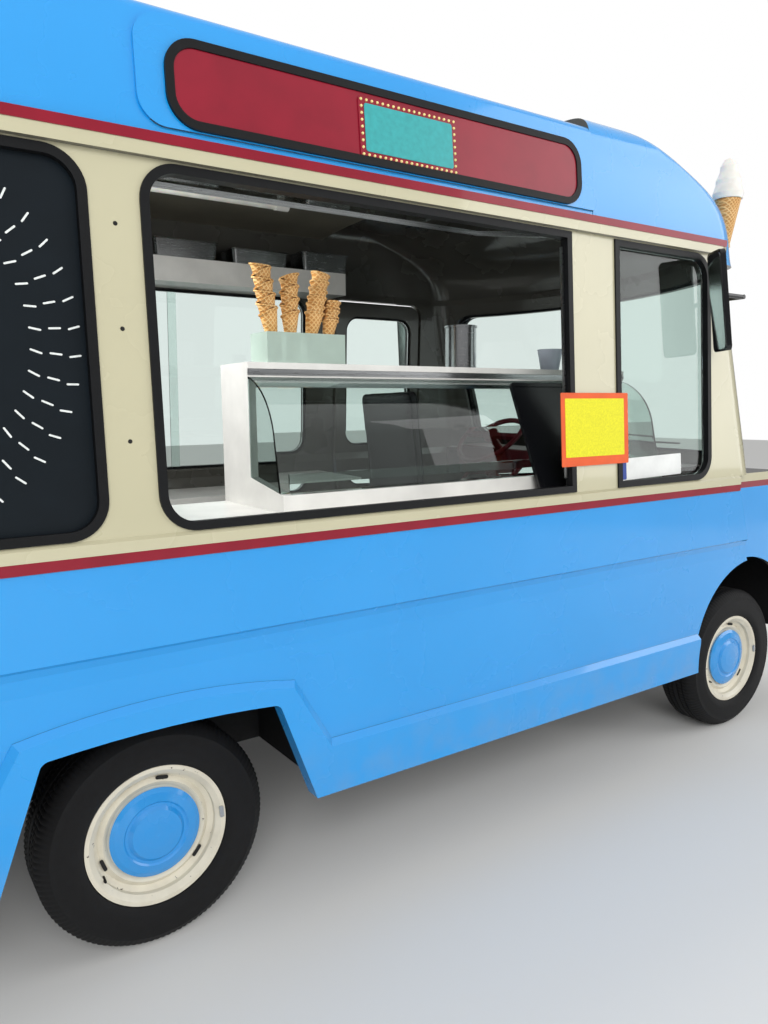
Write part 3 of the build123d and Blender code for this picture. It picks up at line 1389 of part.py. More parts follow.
with BuildPart() as mirrors:
    for side in (-1, 1):
        middle = (MIRROR_X, side * MIRROR_Y, (MIRROR_Z[0] + MIRROR_Z[1]) / 2)
        along = Vector(0, -side, 0).rotate(Axis.Z, side * MIRROR_TURN)
        across = along.cross(Vector(0, -side * MIRROR_LEAN, 1))
        with BuildSketch(Plane(origin=middle, x_dir=along, z_dir=across)):
            RectangleRounded(MIRROR_W, MIRROR_Z[1] - MIRROR_Z[0], MIRROR_R)
        extrude(amount=side * MIRROR_T)
        tube_x = MIRROR_X - 0.7 * MIRROR_T
        with BuildSketch(Plane.YZ.offset(tube_x)):
            with Locations((side * MIRROR_ARM_Y, MIRROR_ARM_Z)):
                Circle(MIRROR_ARM_R)
        extrude(amount=MIRROR_ARM_X - tube_x)
        lean = (SILL_W - CANT_W) * (MIRROR_ARM_Z - SILL_Z) / (CANT_Z - SILL_Z)
        wall_y = side * (SILL_W - lean + MIRROR_FOOT_T / 2)
        with BuildSketch(Plane.XZ.offset(-wall_y)):
            with Locations((MIRROR_ARM_X, MIRROR_ARM_Z)):
                Circle(MIRROR_ARM_R)
        extrude(amount=wall_y - side * (MIRROR_ARM_Y + MIRROR_ARM_R))
        with BuildSketch(window_plane(side).offset(SEAT)):
            with Locations((-side * MIRROR_ARM_X, MIRROR_ARM_Z - SILL_Z)):
                RectangleRounded(*MIRROR_FOOT, 8)
        extrude(amount=MIRROR_FOOT_T)
save(mirrors.part, "mirrors")

# Giant cones: a wafer cone on a bracket at each front corner of the roof, with a swirl on it
CONE_X = FRONT_AXLE - 171
CONE_Y = ROOF_W - 73
CONE_TIP_Z = ROOF_Z + 30
CONE_RIM_Z = ROOF_Z + 217
CONE_R = 52
SWIRL_R = 62
SWIRL_TOP_Z = ROOF_EDGE_Z + 53
BRACKET_ARM = 26


def turn_cone_part(side, points):
    """Turns a closed profile of (radius, height) about a giant cone's axis, in the part that is open."""
    with BuildSketch(Plane(origin=(CONE_X, side * CONE_Y, 0), x_dir=(1, 0, 0), z_dir=(0, -1, 0))) as profile:
        outline(points)
    revolve(profile.sketch, axis=Axis((CONE_X, side * CONE_Y, 0), (0, 0, 1)))


with BuildPart() as roof_cones:
    for side in (-1, 1):
        turn_cone_part(
            side,
            [
                (0, CONE_TIP_Z),
                (14, CONE_TIP_Z),
                (CONE_R - 6, CONE_RIM_Z - 30),
                (CONE_R, CONE_RIM_Z),
                (0, CONE_RIM_Z),
            ],
        )
        block(
            (CONE_X - 190, side * (CONE_Y - BRACKET_ARM / 2), CONE_TIP_Z - 8),
            (CONE_X + 10, side * (CONE_Y + BRACKET_ARM / 2), CONE_TIP_Z + 4),
        )
    add(dome(-SEAT), mode=Mode.SUBTRACT)
save(roof_cones.part, "roof_cones")

with BuildPart() as roof_swirls:
    swirl_h = SWIRL_TOP_Z - CONE_RIM_Z - SEAT
    for side in (-1, 1):
        foot = CONE_RIM_Z + SEAT
        turn_cone_part(
            side,
            [
                (0, foot),
                (SWIRL_R - 4, foot),
                (SWIRL_R, foot + 0.14 * swirl_h),
                (SWIRL_R - 12, foot + 0.36 * swirl_h),
                (SWIRL_R - 12, foot + 0.46 * swirl_h),
                (SWIRL_R - 26, foot + 0.66 * swirl_h),
                (SWIRL_R - 28, foot + 0.80 * swirl_h),
                (SWIRL_R - 44, foot + 0.96 * swirl_h),
                (0, foot + swirl_h),
            ],
        )
save(roof_swirls.part, "roof_swirls")

# Floor: a deck between the walls, boxes over the wheels, the engine's cover and the seat's pedestal
WHEEL_BOX_HALF = 455
WHEEL_BOX_IN = 560
DECK_X = (BODY_BACK + WALL + 22, FRONT_AXLE - 430)
TOE_X = FRONT_AXLE + 246
BOX_T = 12
FRONT_BOX_Y = 470
FRONT_BOX_Z = 1028
LINER_Z = 400  # foot of the walls in front of and behind each wheel
LINER_X = FRONT_AXLE + 430
ENGINE_ROOM = 30  # air between the engine and its cover
SEAT_X = (FRONT_AXLE - 1042, FRONT_AXLE - 612)
SEAT_Y = (170, 630)
PEDESTAL_Z = 960

with BuildPart() as floor:
    block((DECK_X[0], -FLOOR_HALF + 60, FLOOR_Z - FLOOR_T), (CORNER_X, FLOOR_HALF - 60, FLOOR_Z))
    block((CORNER_X, -FLOOR_HALF, FLOOR_Z - FLOOR_T), (DECK_X[1], FLOOR_HALF, FLOOR_Z))
    block((DECK_X[1], -FRONT_BOX_Y, FLOOR_Z - FLOOR_T), (TOE_X, FRONT_BOX_Y, FLOOR_Z))
    for side in (-1, 1):
        outer, inner = side * FLOOR_HALF, side * WHEEL_BOX_IN
        block(
            (REAR_AXLE - WHEEL_BOX_HALF, inner, FLOOR_Z - FLOOR_T),
            (REAR_AXLE + WHEEL_BOX_HALF, outer, WHEEL_BOX_Z),
        )
        block(
            (REAR_AXLE - WHEEL_BOX_HALF + BOX_T, inner + side * BOX_T, FLOOR_Z - FLOOR_T),
            (REAR_AXLE + WHEEL_BOX_HALF - BOX_T, outer, WHEEL_BOX_Z - BOX_T),
            Mode.SUBTRACT,
        )
        for x in (REAR_AXLE - WHEEL_BOX_HALF, REAR_AXLE + WHEEL_BOX_HALF - BOX_T):
            block((x, inner, LINER_Z), (x + BOX_T, outer, FLOOR_Z))
        block(
            (REAR_AXLE - WHEEL_BOX_HALF, inner, LINER_Z),
            (REAR_AXLE + WHEEL_BOX_HALF, inner + side * BOX_T, FLOOR_Z),
        )
        step, cheek = side * FRONT_BOX_Y, side * (COWL_W - COWL_WALL - SEAT)
        block((DECK_X[1] - BOX_T, step, LINER_Z), (DECK_X[1], cheek, FRONT_BOX_Z))
        block((LINER_X - BOX_T, step, LINER_Z), (LINER_X, cheek, FRONT_BOX_Z))
        block((DECK_X[1], step, FRONT_BOX_Z - BOX_T), (LINER_X, cheek, FRONT_BOX_Z))
        block((DECK_X[1] - BOX_T, step - side * BOX_T, FLOOR_Z - FLOOR_T), (LINER_X, step, FRONT_BOX_Z))
    block(
        (TOE_X - BOX_T, -COWL_W + COWL_WALL + SEAT, FRONT_BOX_Z - BOX_T),
        (TOE_X, COWL_W - COWL_WALL - SEAT, SILL_Z - COWL_WALL - SEAT),
    )
    block((SEAT_X[0] + 40, SEAT_Y[0] + 40, FLOOR_Z - 1), (SEAT_X[1] - 60, SEAT_Y[1] - 40, PEDESTAL_Z))
    block((TOE_X - BOX_T, -FRONT_BOX_Y, FLOOR_Z - FLOOR_T), (TOE_X, FRONT_BOX_Y, FRONT_BOX_Z))
    block(
        (ENGINE_X[0] - ENGINE_ROOM - BOX_T, -ENGINE_HALF - ENGINE_ROOM - BOX_T, FLOOR_Z - FLOOR_T),
        (TOE_X, ENGINE_HALF + ENGINE_ROOM + BOX_T, ENGINE_Z[1] + ENGINE_ROOM + BOX_T),
    )
    block(
        (ENGINE_X[0] - ENGINE_ROOM, -ENGINE_HALF - ENGINE_ROOM, FLOOR_Z - FLOOR_T - 1),
        (TOE_X + 1, ENGINE_HALF + ENGINE_ROOM, ENGINE_Z[1] + ENGINE_ROOM),
        Mode.SUBTRACT,
    )
save(floor.part, "floor")


def wheel_box(side, grow):
    """The room that a rear wheel box takes up, grown."""
    with BuildPart() as room:
        block(
            (REAR_AXLE - WHEEL_BOX_HALF, side * (WHEEL_BOX_IN - grow), FLOOR_Z - 1),
            (REAR_AXLE + WHEEL_BOX_HALF + grow, side * LOWER_W, WHEEL_BOX_Z + grow),
        )
    return room.part


def case_hollow(low, high, side, grow):
    """The room inside a case that stands over a rear wheel box."""
    with BuildPart() as room:
        block(low, high)
        add(wheel_box(side, grow), mode=Mode.SUBTRACT)
    return room.part


# Serving cabinet behind the right hatch: an open-topped case whose front wall is the glass's apron,
# end panels, a top board with a rail under its front edge, and a serving ledge
CABINET_X = (REAR_AXLE + 410, FRONT_AXLE - 522)
CABINET_Y = (-862, -440)
CABINET_Z = 1150
CABINET_T = 30
PANEL_Y = -645  # front edge of the end panels
TOP_BOARD_Z = (1618, 1638)
TOP_RAIL_Z = 1580
TOP_RAIL_T = 20
APRON_Z = 1242
APRON_BACK_Z = 1282  # the apron's ends rise to this at the end panels
LEDGE_X = REAR_AXLE + 30
LEDGE_TOP = 1190
LEDGE_T = 22

with BuildPart() as display_cabinet:
    block((CABINET_X[0], CABINET_Y[0], FLOOR_Z + SEAT), (CABINET_X[1], CABINET_Y[1], CABINET_Z))
    add(
        case_hollow(
            (CABINET_X[0] + CABINET_T, CABINET_Y[0] + CABINET_T, FLOOR_Z + CABINET_T),
            (CABINET_X[1] - CABINET_T, CABINET_Y[1] - CABINET_T, CABINET_Z + 1),
            -1,
            CABINET_T,
        ),
        mode=Mode.SUBTRACT,
    )
    add(wheel_box(-1, SEAT), mode=Mode.SUBTRACT)
    block((CABINET_X[0], CABINET_Y[0], CABINET_Z - 1), (CABINET_X[1], CABINET_Y[0] + CABINET_T, APRON_Z))
    for x in (CABINET_X[0], CABINET_X[1] - CABINET_T):
        with BuildSketch(Plane.YZ.offset(x)):
            outline(
                [
                    (CABINET_Y[0], CABINET_Z - 1),
                    (CABINET_Y[0], APRON_Z),
                    (PANEL_Y, APRON_BACK_Z),
                    (PANEL_Y, TOP_BOARD_Z[1]),
                    (CABINET_Y[1], TOP_BOARD_Z[1]),
                    (CABINET_Y[1], CABINET_Z - 1),
                ]
            )
        extrude(amount=CABINET_T)
    block((CABINET_X[0], PANEL_Y - 5, TOP_BOARD_Z[0]), (CABINET_X[1], CABINET_Y[1], TOP_BOARD_Z[1]))
    block((CABINET_X[0], PANEL_Y, TOP_RAIL_Z), (CABINET_X[1], PANEL_Y + TOP_RAIL_T, TOP_BOARD_Z[1]))
    block(
        (LEDGE_X, CABINET_Y[1], LEDGE_TOP - LEDGE_T),
        (CABINET_X[0] + 1, -LOWER_W + WALL + SEAT, LEDGE_TOP),
    )
    block(
        (CABINET_X[0], CABINET_Y[0] + 1, LEDGE_TOP - LEDGE_T),
        (CABINET_X[1], -LOWER_W + WALL + SEAT, LEDGE_TOP),
    )
save(display_cabinet.part, "display_cabinet")

# The cabinet's tray of tubs, let into its open top
TUB_ROWS = 1
TUB_COLUMNS = 8
TUB_DEPTH = 110
TUB_WALL = 22
TUB_R = 24

with BuildPart() as display_tubs:
    low = (CABINET_X[0] + CABINET_T + SEAT, CABINET_Y[0] + CABINET_T + SEAT)
    high = (CABINET_X[1] - CABINET_T - SEAT, CABINET_Y[1] - CABINET_T - SEAT)
    block((*low, CABINET_Z - TUB_DEPTH - 4), (*high, CABINET_Z))
    length = (high[0] - low[0] - TUB_WALL) / TUB_COLUMNS
    width = (high[1] - low[1] - TUB_WALL) / TUB_ROWS
    with BuildSketch(Plane.XY.offset(CABINET_Z)):
        with Locations(((low[0] + high[0]) / 2, (low[1] + high[1]) / 2)):
            with GridLocations(length, width, TUB_COLUMNS, TUB_ROWS):
                RectangleRounded(length - TUB_WALL, width - TUB_WALL, TUB_R)
    extrude(amount=-TUB_DEPTH, mode=Mode.SUBTRACT)
save(display_tubs.part, "display_tubs")

# The cabinet's glass: a front that rises from the apron and curves over, with a flat pane at each end
CURVE_FOOT = (CABINET_Y[0] + 16, APRON_Z + SEAT)
CURVE_KNEE = (-807, 1423)
CURVE_BEND = (-756, 1524)
CURVE_HEAD = (PANEL_Y - 8, TOP_RAIL_Z + 12)

with BuildPart() as display_glass:
    back = PANEL_Y - SEAT
    end_foot = APRON_Z + (APRON_BACK_Z - APRON_Z) * (CABINET_Y[0] - back) / (CABINET_Y[0] - PANEL_Y) + SEAT
    share = (CABINET_Y[0] - CURVE_FOOT[0]) / (CABINET_Y[0] - PANEL_Y)
    low_foot = APRON_Z + (APRON_BACK_Z - APRON_Z) * share + SEAT
    for start, span, mode in (
        (CABINET_X[0], CABINET_X[1] - CABINET_X[0], Mode.ADD),
        (CABINET_X[0] + GLASS, CABINET_X[1] - CABINET_X[0] - 2 * GLASS, Mode.SUBTRACT),
    ):
        inner = GLASS if mode == Mode.SUBTRACT else 0
        with BuildSketch(Plane.YZ.offset(start)) as section:
            with BuildLine() as line:
                ThreePointArc(
                    (CURVE_KNEE[0] + inner, CURVE_KNEE[1]),
                    (CURVE_BEND[0] + 0.7 * inner, CURVE_BEND[1] - 0.7 * inner),
                    (CURVE_HEAD[0], CURVE_HEAD[1] - inner),
                )
                Polyline(
                    (CURVE_HEAD[0], CURVE_HEAD[1] - inner),
                    (back + inner, CURVE_HEAD[1] - inner),
                    (back + inner, end_foot if inner == 0 else LEDGE_TOP),
                    (CURVE_FOOT[0] + inner, low_foot if inner == 0 else LEDGE_TOP),
                    (CURVE_KNEE[0] + inner, CURVE_KNEE[1]),
                )
            make_face(line.edges())
        extrude(section.sketch, amount=span, mode=mode)
    block(
        (CABINET_X[0] + CABINET_T, CURVE_FOOT[0], APRON_Z + SEAT),
        (CABINET_X[1] - CABINET_T, CURVE_FOOT[0] + GLASS, APRON_Z + 2 * CABINET_T),
    )
save(display_glass.part, "display_glass")

# A frosted holder for stacks of wafer cones, on the cabinet's top board
HOLDER_X = (CABINET_X[0] + 71, CABINET_X[0] + 355)
HOLDER_Y = (PANEL_Y, PANEL_Y + 120)
HOLDER_H = 95
HOLDER_HOLES = (  # (place from the holder's end, place across)
    (45, -585),
    (113, -585),
    (190, -585),
    (255, -585),
)
HOLDER_HOLE_R = 24

with BuildPart() as cone_holder:
    foot = TOP_BOARD_Z[1] + SEAT
    block((HOLDER_X[0], HOLDER_Y[0], foot), (HOLDER_X[1], HOLDER_Y[1], foot + HOLDER_H))
    with BuildSketch(Plane.XY.offset(foot + HOLDER_H)):
        with Locations(*[(HOLDER_X[0] + along, across) for along, across in HOLDER_HOLES]):
            Circle(HOLDER_HOLE_R)
    extrude(amount=-HOLDER_H + 10, mode=Mode.SUBTRACT)
save(cone_holder.part, "cone_holder")

# Counter along the left wall, and a long shelf box above the left window
COUNTER_X = (REAR_AXLE + 60, FRONT_AXLE - 1132)
COUNTER_Y = (500, LOWER_W - WALL - SEAT)
COUNTER_Z = 1100
COUNTER_T = 20
LOCKER_X = (HATCH_X[0], FRONT_AXLE - 1082)
LOCKER_Y = (CANT_W - 245, CANT_W - WALL - SEAT)
LOCKER_Z = (CANT_Z - 16, CANT_Z + 94)

with BuildPart() as back_counter:
    block((COUNTER_X[0], COUNTER_Y[0], FLOOR_Z + SEAT), (COUNTER_X[1], COUNTER_Y[1], COUNTER_Z))
    add(
        case_hollow(
            (COUNTER_X[0] + COUNTER_T, COUNTER_Y[0] + COUNTER_T, FLOOR_Z + COUNTER_T),
            (COUNTER_X[1] - COUNTER_T, COUNTER_Y[1] - COUNTER_T, COUNTER_Z - COUNTER_T),
            1,
            COUNTER_T,
        ),
        mode=Mode.SUBTRACT,
    )
    add(wheel_box(1, SEAT), mode=Mode.SUBTRACT)
    block((LOCKER_X[0], LOCKER_Y[0], LOCKER_Z[0]), (LOCKER_X[1], LOCKER_Y[1], LOCKER_Z[1]))
save(back_counter.part, "back_counter")

# Driver's seat: a cushion on the pedestal, and a backrest
CUSHION_T = 110
BACKREST_T = 100
BACKREST_TOP = 1600

with BuildPart() as driver_seat:
    block((SEAT_X[0], SEAT_Y[0], PEDESTAL_Z + SEAT), (SEAT_X[1], SEAT_Y[1], PEDESTAL_Z + CUSHION_T))
    with BuildSketch(Plane.XZ.offset(-SEAT_Y[0])):
        outline(
            [
                (SEAT_X[0] + BACKREST_T, PEDESTAL_Z + SEAT),
                (SEAT_X[0] - 40 + BACKREST_T / 2, BACKREST_TOP),
                (SEAT_X[0] - 40, BACKREST_TOP),
                (SEAT_X[0], PEDESTAL_Z + SEAT),
            ]
        )
    extrude(amount=-(SEAT_Y[1] - SEAT_Y[0]))
    across = driver_seat.edges().filter_by(Axis.Y)
    fillet(across.filter_by(lambda edge: edge.center().Z > PEDESTAL_Z + 50), 18)
save(driver_seat.part, "driver_seat")

# Dashboard over the scuttle, with the steering column and wheel
DASH_X = (FRONT_AXLE - 252, FRONT_AXLE - 32)
DASH_HALF = SILL_W - 234
DASH_Z = (FRONT_BOX_Z + SEAT, 1215)
DASH_T = 40
WHEEL_Y = (SEAT_Y[0] + SEAT_Y[1]) / 2
WHEEL_X = FRONT_AXLE - 326
WHEEL_Z = 1290
WHEEL_R = 205
WHEEL_TUBE_R = 13
WHEEL_HUB_R = 45
COLUMN_R = 20
COLUMN_FALL = 50  # degrees below level, forward

with BuildPart() as dashboard:
    block((DASH_X[0], -DASH_HALF, DASH_Z[0]), (DASH_X[0] + DASH_T, DASH_HALF, DASH_Z[1]))
    block((DASH_X[0], -DASH_HALF, SILL_Z + SEAT), (DASH_X[1], DASH_HALF, DASH_Z[1]))
    fillet(dashboard.edges().filter_by(Axis.Y).sort_by(Axis.Z)[-2:], 12)
    fall = Vector(1, 0, 0).rotate(Axis.Y, COLUMN_FALL)
    steering = Plane(origin=(WHEEL_X, WHEEL_Y, WHEEL_Z), x_dir=(0, 1, 0), z_dir=fall)
    with BuildSketch(steering):
        Circle(COLUMN_R)
    extrude(amount=(DASH_X[0] + DASH_T / 2 - WHEEL_X) / fall.X)
    with BuildSketch(steering.offset(-WHEEL_TUBE_R)):
        Circle(WHEEL_HUB_R)
        Rectangle(2 * WHEEL_R - WHEEL_TUBE_R, 2 * WHEEL_TUBE_R)
    extrude(amount=2 * WHEEL_TUBE_R)
    with BuildSketch(Plane(origin=steering.origin, x_dir=(0, 1, 0), z_dir=fall.cross(Vector(0, 1, 0)))):
        with Locations((WHEEL_R, 0)):
            Circle(WHEEL_TUBE_R)
    revolve(axis=Axis(steering.origin, fall))
save(dashboard.part, "dashboard")
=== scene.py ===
import math

import bpy
from mathutils import Matrix, Vector
from mathutils.bvhtree import BVHTree

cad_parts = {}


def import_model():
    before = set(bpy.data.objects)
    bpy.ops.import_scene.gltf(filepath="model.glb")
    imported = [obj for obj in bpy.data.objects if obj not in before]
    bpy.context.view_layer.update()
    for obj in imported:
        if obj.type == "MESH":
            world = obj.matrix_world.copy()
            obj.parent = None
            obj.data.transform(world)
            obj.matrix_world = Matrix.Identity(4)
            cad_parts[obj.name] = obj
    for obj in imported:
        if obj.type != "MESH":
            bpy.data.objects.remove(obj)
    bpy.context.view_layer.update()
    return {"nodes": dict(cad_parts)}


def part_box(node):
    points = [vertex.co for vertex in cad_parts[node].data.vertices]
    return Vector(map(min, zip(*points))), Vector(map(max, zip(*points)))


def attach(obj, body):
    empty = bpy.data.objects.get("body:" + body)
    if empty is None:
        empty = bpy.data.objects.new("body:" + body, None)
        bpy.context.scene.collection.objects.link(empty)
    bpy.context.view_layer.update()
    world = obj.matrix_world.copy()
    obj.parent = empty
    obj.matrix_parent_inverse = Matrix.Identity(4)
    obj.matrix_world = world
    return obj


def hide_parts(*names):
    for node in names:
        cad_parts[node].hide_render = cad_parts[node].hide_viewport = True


# An ice cream truck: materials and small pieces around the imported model. Metres.
# +X is forward, +Y is the truck's left, +Z is up, and the ground is z = 0.
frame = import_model()
NODES = frame["nodes"]


def middle(node):
    """The centre of a node's box."""
    low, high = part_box(node)
    return (Vector(low) + Vector(high)) / 2


REAR_AXLE = middle("tyre_rear_right").x
FRONT_AXLE = middle("tyre_front_right").x

# Heights, half widths and windows of the side walls, as in the part's source
STRIPE_Z = 1.125
BELT_Z = 1.152
SILL_Z = 1.188
CANT_Z = 2.096
ROOF_Z = 2.128
SILL_W = 0.994
CANT_W = 0.945
COWL_W = 0.9447
ROOF_W = 0.958
ROOF_LEAN = (ROOF_W - 0.930) / (2.459 - ROOF_Z)
HATCH_FRONT = REAR_AXLE + 1.492
QUARTER_MIDDLE = REAR_AXLE - 0.5385
WINDOW_MIDDLE = 1.640
SIDES = ((-1, "right"), (1, "left"))


# Shaders
class Nodes:
    """Short calls for the nodes of a material or a sky."""

    def __init__(self, owner):
        owner.use_nodes = True
        self.tree = owner.node_tree

    def put(self, socket, value):
        """Sets or links one input."""
        if isinstance(value, bpy.types.NodeSocket):
            self.tree.links.new(value, socket)
        else:
            socket.default_value = value

    def add(self, kind, *ordered, **named):
        """A new node, with its inputs set or linked by order and by name."""
        node = self.tree.nodes.new(kind)
        for index, value in enumerate(ordered):
            self.put(node.inputs[index], value)
        for name, value in named.items():
            self.put(node.inputs[name], value)
        return node

    def math(self, operation, a, b=0.0):
        """One step of arithmetic."""
        node = self.add("ShaderNodeMath", a, b)
        node.operation = operation
        return node.outputs[0]

    def steps(self, value, low, high, start=0.0, end=1.0):
        """From start at low to end at high, and level outside them."""
        return self.add("ShaderNodeMapRange", value, low, high, start, end).outputs["Result"]


class Shader(Nodes):
    """A surface, with short calls for what feeds it."""

    def __init__(self, name, color, roughness, metallic=0.0, **sockets):
        self.material = bpy.data.materials.new(name)
        super().__init__(self.material)
        self.bsdf = self.tree.nodes["Principled BSDF"]
        base = {"Base Color": (*color, 1), "Roughness": roughness, "Metallic": metallic}
        for socket, value in {**base, **sockets}.items():
            self.bsdf.inputs[socket.replace("_", " ")].default_value = value

    def place(self):
        """Rest coordinates."""
        return self.add("ShaderNodeTexCoord").outputs["Object"]

    def noise(self, scale, detail=4.0, stretch=None):
        """A noise value over the object, from 0 to 1."""
        where = self.place()
        if stretch:
            where = self.add("ShaderNodeMapping", Vector=where, Scale=stretch).outputs["Vector"]
        return self.add("ShaderNodeTexNoise", Vector=where, Scale=scale, Detail=detail).outputs["Fac"]

    def blend(self, factor, a, b):
        """A mix of two colours."""
        node = self.tree.nodes.new("ShaderNodeMix")
        node.data_type = "RGBA"
        for index, value in ((0, factor), (6, a), (7, b)):
            self.put(node.inputs[index], (*value, 1) if isinstance(value, tuple) else value)
        return node.outputs[2]

    def axis(self, name):
        """One rest coordinate."""
        return self.add("ShaderNodeSeparateXYZ", Vector=self.place()).outputs[name]

    def normal(self):
        """The way that a face looks."""
        return self.add("ShaderNodeTexCoord").outputs["Normal"]

    def inside(self):
        """1 on faces that look in to the middle of the truck, 0 on those that look out."""
        away = self.add("ShaderNodeVectorMath", self.place(), INNER_POINT)
        away.operation = "SUBTRACT"
        facing = self.add("ShaderNodeVectorMath", self.normal(), away.outputs[0])
        facing.operation = "DOT_PRODUCT"
        return self.math("LESS_THAN", facing.outputs["Value"], 0.0)

    def color(self, value):
        """Links the base colour."""
        self.put(self.bsdf.inputs["Base Color"], value)

    def rough(self, value):
        """Links the roughness."""
        self.put(self.bsdf.inputs["Roughness"], value)

    def bump(self, height, distance, strength=1.0):
        """Links a bump to the normal."""
        node = self.add("ShaderNodeBump", Height=height, Distance=distance, Strength=strength)
        self.put(self.bsdf.inputs["Normal"], node.outputs["Normal"])


INNER_POINT = (-0.3, 0.0, 1.5)


def srgb(red, green, blue):
    """A linear colour from 0 to 255 display values."""
    return tuple(((c / 255 + 0.055) / 1.055) ** 2.4 if c > 10 else c / 3294.6 for c in (red, green, blue))


def shade(color, factor, lift=0.0):
    """A lighter or darker colour."""
    return tuple(min(1.0, c * factor + lift) for c in color)


BLUE = srgb(18, 146, 220)
# the cream is darkened to its tone in leaf shade: painted shade
SHADED_CREAM = srgb(190, 185, 155)
CRIMSON = srgb(136, 18, 40)
LINER = srgb(74, 73, 68)
DUST = srgb(150, 140, 122)
DUST_Z = (0.60, 0.34)  # where the dust starts, and where there is most


def worn(shader, color, dust=0.2):
    """Paint that is a little paler in patches and dusty near the ground."""
    patch = shader.steps(shader.noise(2.2, 3.0), 0.35, 0.75)
    paint = shader.blend(shader.math("MULTIPLY", patch, 0.16), color, shade(color, 1.25, 0.02))
    low = shader.steps(shader.axis("Z"), *DUST_Z)
    grime = shader.math("MULTIPLY", low, shader.steps(shader.noise(9.0, 6.0), 0.38, 0.72))
    return shader.blend(shader.math("MULTIPLY", grime, dust), paint, DUST)


def body_paint(name, color, lined=True, dust=0.2):
    """Glossy body paint, with a dark liner on the faces that look inwards."""
    shader = Shader(name, color, 0.32, Coat_Weight=0.8, Coat_Roughness=0.05)
    paint = worn(shader, color, dust)
    if lined:
        paint = shader.blend(shader.inside(), paint, LINER)
    shader.color(paint)
    shader.rough(shader.math("ADD", shader.math("MULTIPLY", shader.noise(3.0), 0.14), 0.20))
    shader.bump(shader.noise(1.4, 2.0), 0.004, 0.35)
    return shader.material


def banded_paint(name, edge=None):
    """Blue below the stripe, crimson on it and cream above; edge keeps the bands to faces that far out."""
    shader = Shader(name, BLUE, 0.28, Coat_Weight=0.8, Coat_Roughness=0.05)
    height = shader.axis("Z")
    above = shader.math("GREATER_THAN", height, STRIPE_Z)
    cream = shader.math("GREATER_THAN", height, BELT_Z)
    if edge is not None:
        outer = shader.math("GREATER_THAN", shader.math("ABSOLUTE", shader.axis("Y")), edge)
        above = shader.math("MULTIPLY", above, outer)
    bands = shader.blend(cream, CRIMSON, SHADED_CREAM)
    paint = shader.blend(above, worn(shader, BLUE), bands)
    shader.color(shader.blend(shader.inside(), paint, LINER))
    shader.bump(shader.noise(1.4, 2.0), 0.004, 0.35)
    return shader.material


def plain(name, color, roughness, metallic=0.0, grain=10.0, depth=0.0, **sockets):
    """One colour with a faint mottle, and a bump if a depth is given."""
    shader = Shader(name, color, roughness, metallic, **sockets)
    mottle = shader.steps(shader.noise(grain), 0.3, 0.7)
    shader.color(shader.blend(mottle, shade(color, 0.88), shade(color, 1.08)))
    if depth:
        shader.bump(shader.noise(grain * 4, 6.0), depth)
    return shader.material


def chipped(name, color, under, amount):
    """Paint with chips that show what is under it."""
    shader = Shader(name, color, 0.4)
    chips = shader.steps(shader.noise(60.0, 8.0), amount, amount + 0.02)
    grime = shader.steps(shader.noise(14.0, 5.0), 0.45, 0.8)
    paint = shader.blend(shader.math("MULTIPLY", grime, 0.3), color, DUST)
    shader.color(shader.blend(chips, paint, under))
    return shader.material


def glass(name, tint):
    """Clear glass with a tint."""
    shader = Shader(name, tint, 0.0, Transmission_Weight=1.0, IOR=1.45)
    shader.rough(shader.math("MULTIPLY", shader.steps(shader.noise(3.0), 0.5, 0.9), 0.02))
    return shader.material


def ribbed_glass(name, tint):
    """Clear lamp glass with upright ribs."""
    shader = Shader(name, tint, 0.04, Transmission_Weight=1.0, IOR=1.45)
    ribs = shader.add("ShaderNodeTexWave", Vector=shader.place(), Scale=14.0)
    ribs.bands_direction = "Y"
    shader.bump(ribs.outputs["Fac"], 0.0015)
    return shader.material


def frosted(name, color):
    """Milky acrylic that lets some light through."""
    shader = Shader(name, color, 0.38, Transmission_Weight=0.45, IOR=1.3)
    cloud = shader.steps(shader.noise(12.0), 0.3, 0.8)
    shader.color(shader.blend(cloud, color, shade(color, 1.15)))
    shader.rough(shader.math("ADD", shader.math("MULTIPLY", cloud, 0.12), 0.32))
    return shader.material


def brushed(name, color, roughness=0.3):
    """Steel or aluminium with a fine lengthwise grain."""
    shader = Shader(name, color, roughness, 1.0)
    grain = shader.noise(30.0, 3.0, stretch=(0.5, 12.0, 12.0))
    shader.rough(shader.math("ADD", shader.math("MULTIPLY", grain, 0.2), roughness - 0.1))
    shader.bump(grain, 0.0003, 0.4)
    return shader.material


AMBER = srgb(224, 124, 20)
REAR_LAMP_SPLIT = 0.70  # the height at which a rear lamp turns from red to amber


def signal_material():
    """Amber in front; behind, red below and amber above."""
    shader = Shader("signal_lens", AMBER, 0.12, Coat_Weight=1.0)
    low = shader.math("LESS_THAN", shader.axis("Z"), REAR_LAMP_SPLIT)
    back = shader.math("LESS_THAN", shader.axis("X"), 0.0)
    red = shader.math("MULTIPLY", low, back)
    shader.color(shader.blend(red, AMBER, srgb(150, 14, 16)))
    ribs = shader.add("ShaderNodeTexWave", Vector=shader.place(), Scale=60.0).outputs["Fac"]
    shader.bump(ribs, 0.0015)
    return shader.material


COVER_Z = 0.64  # the deck's covering lies higher than this


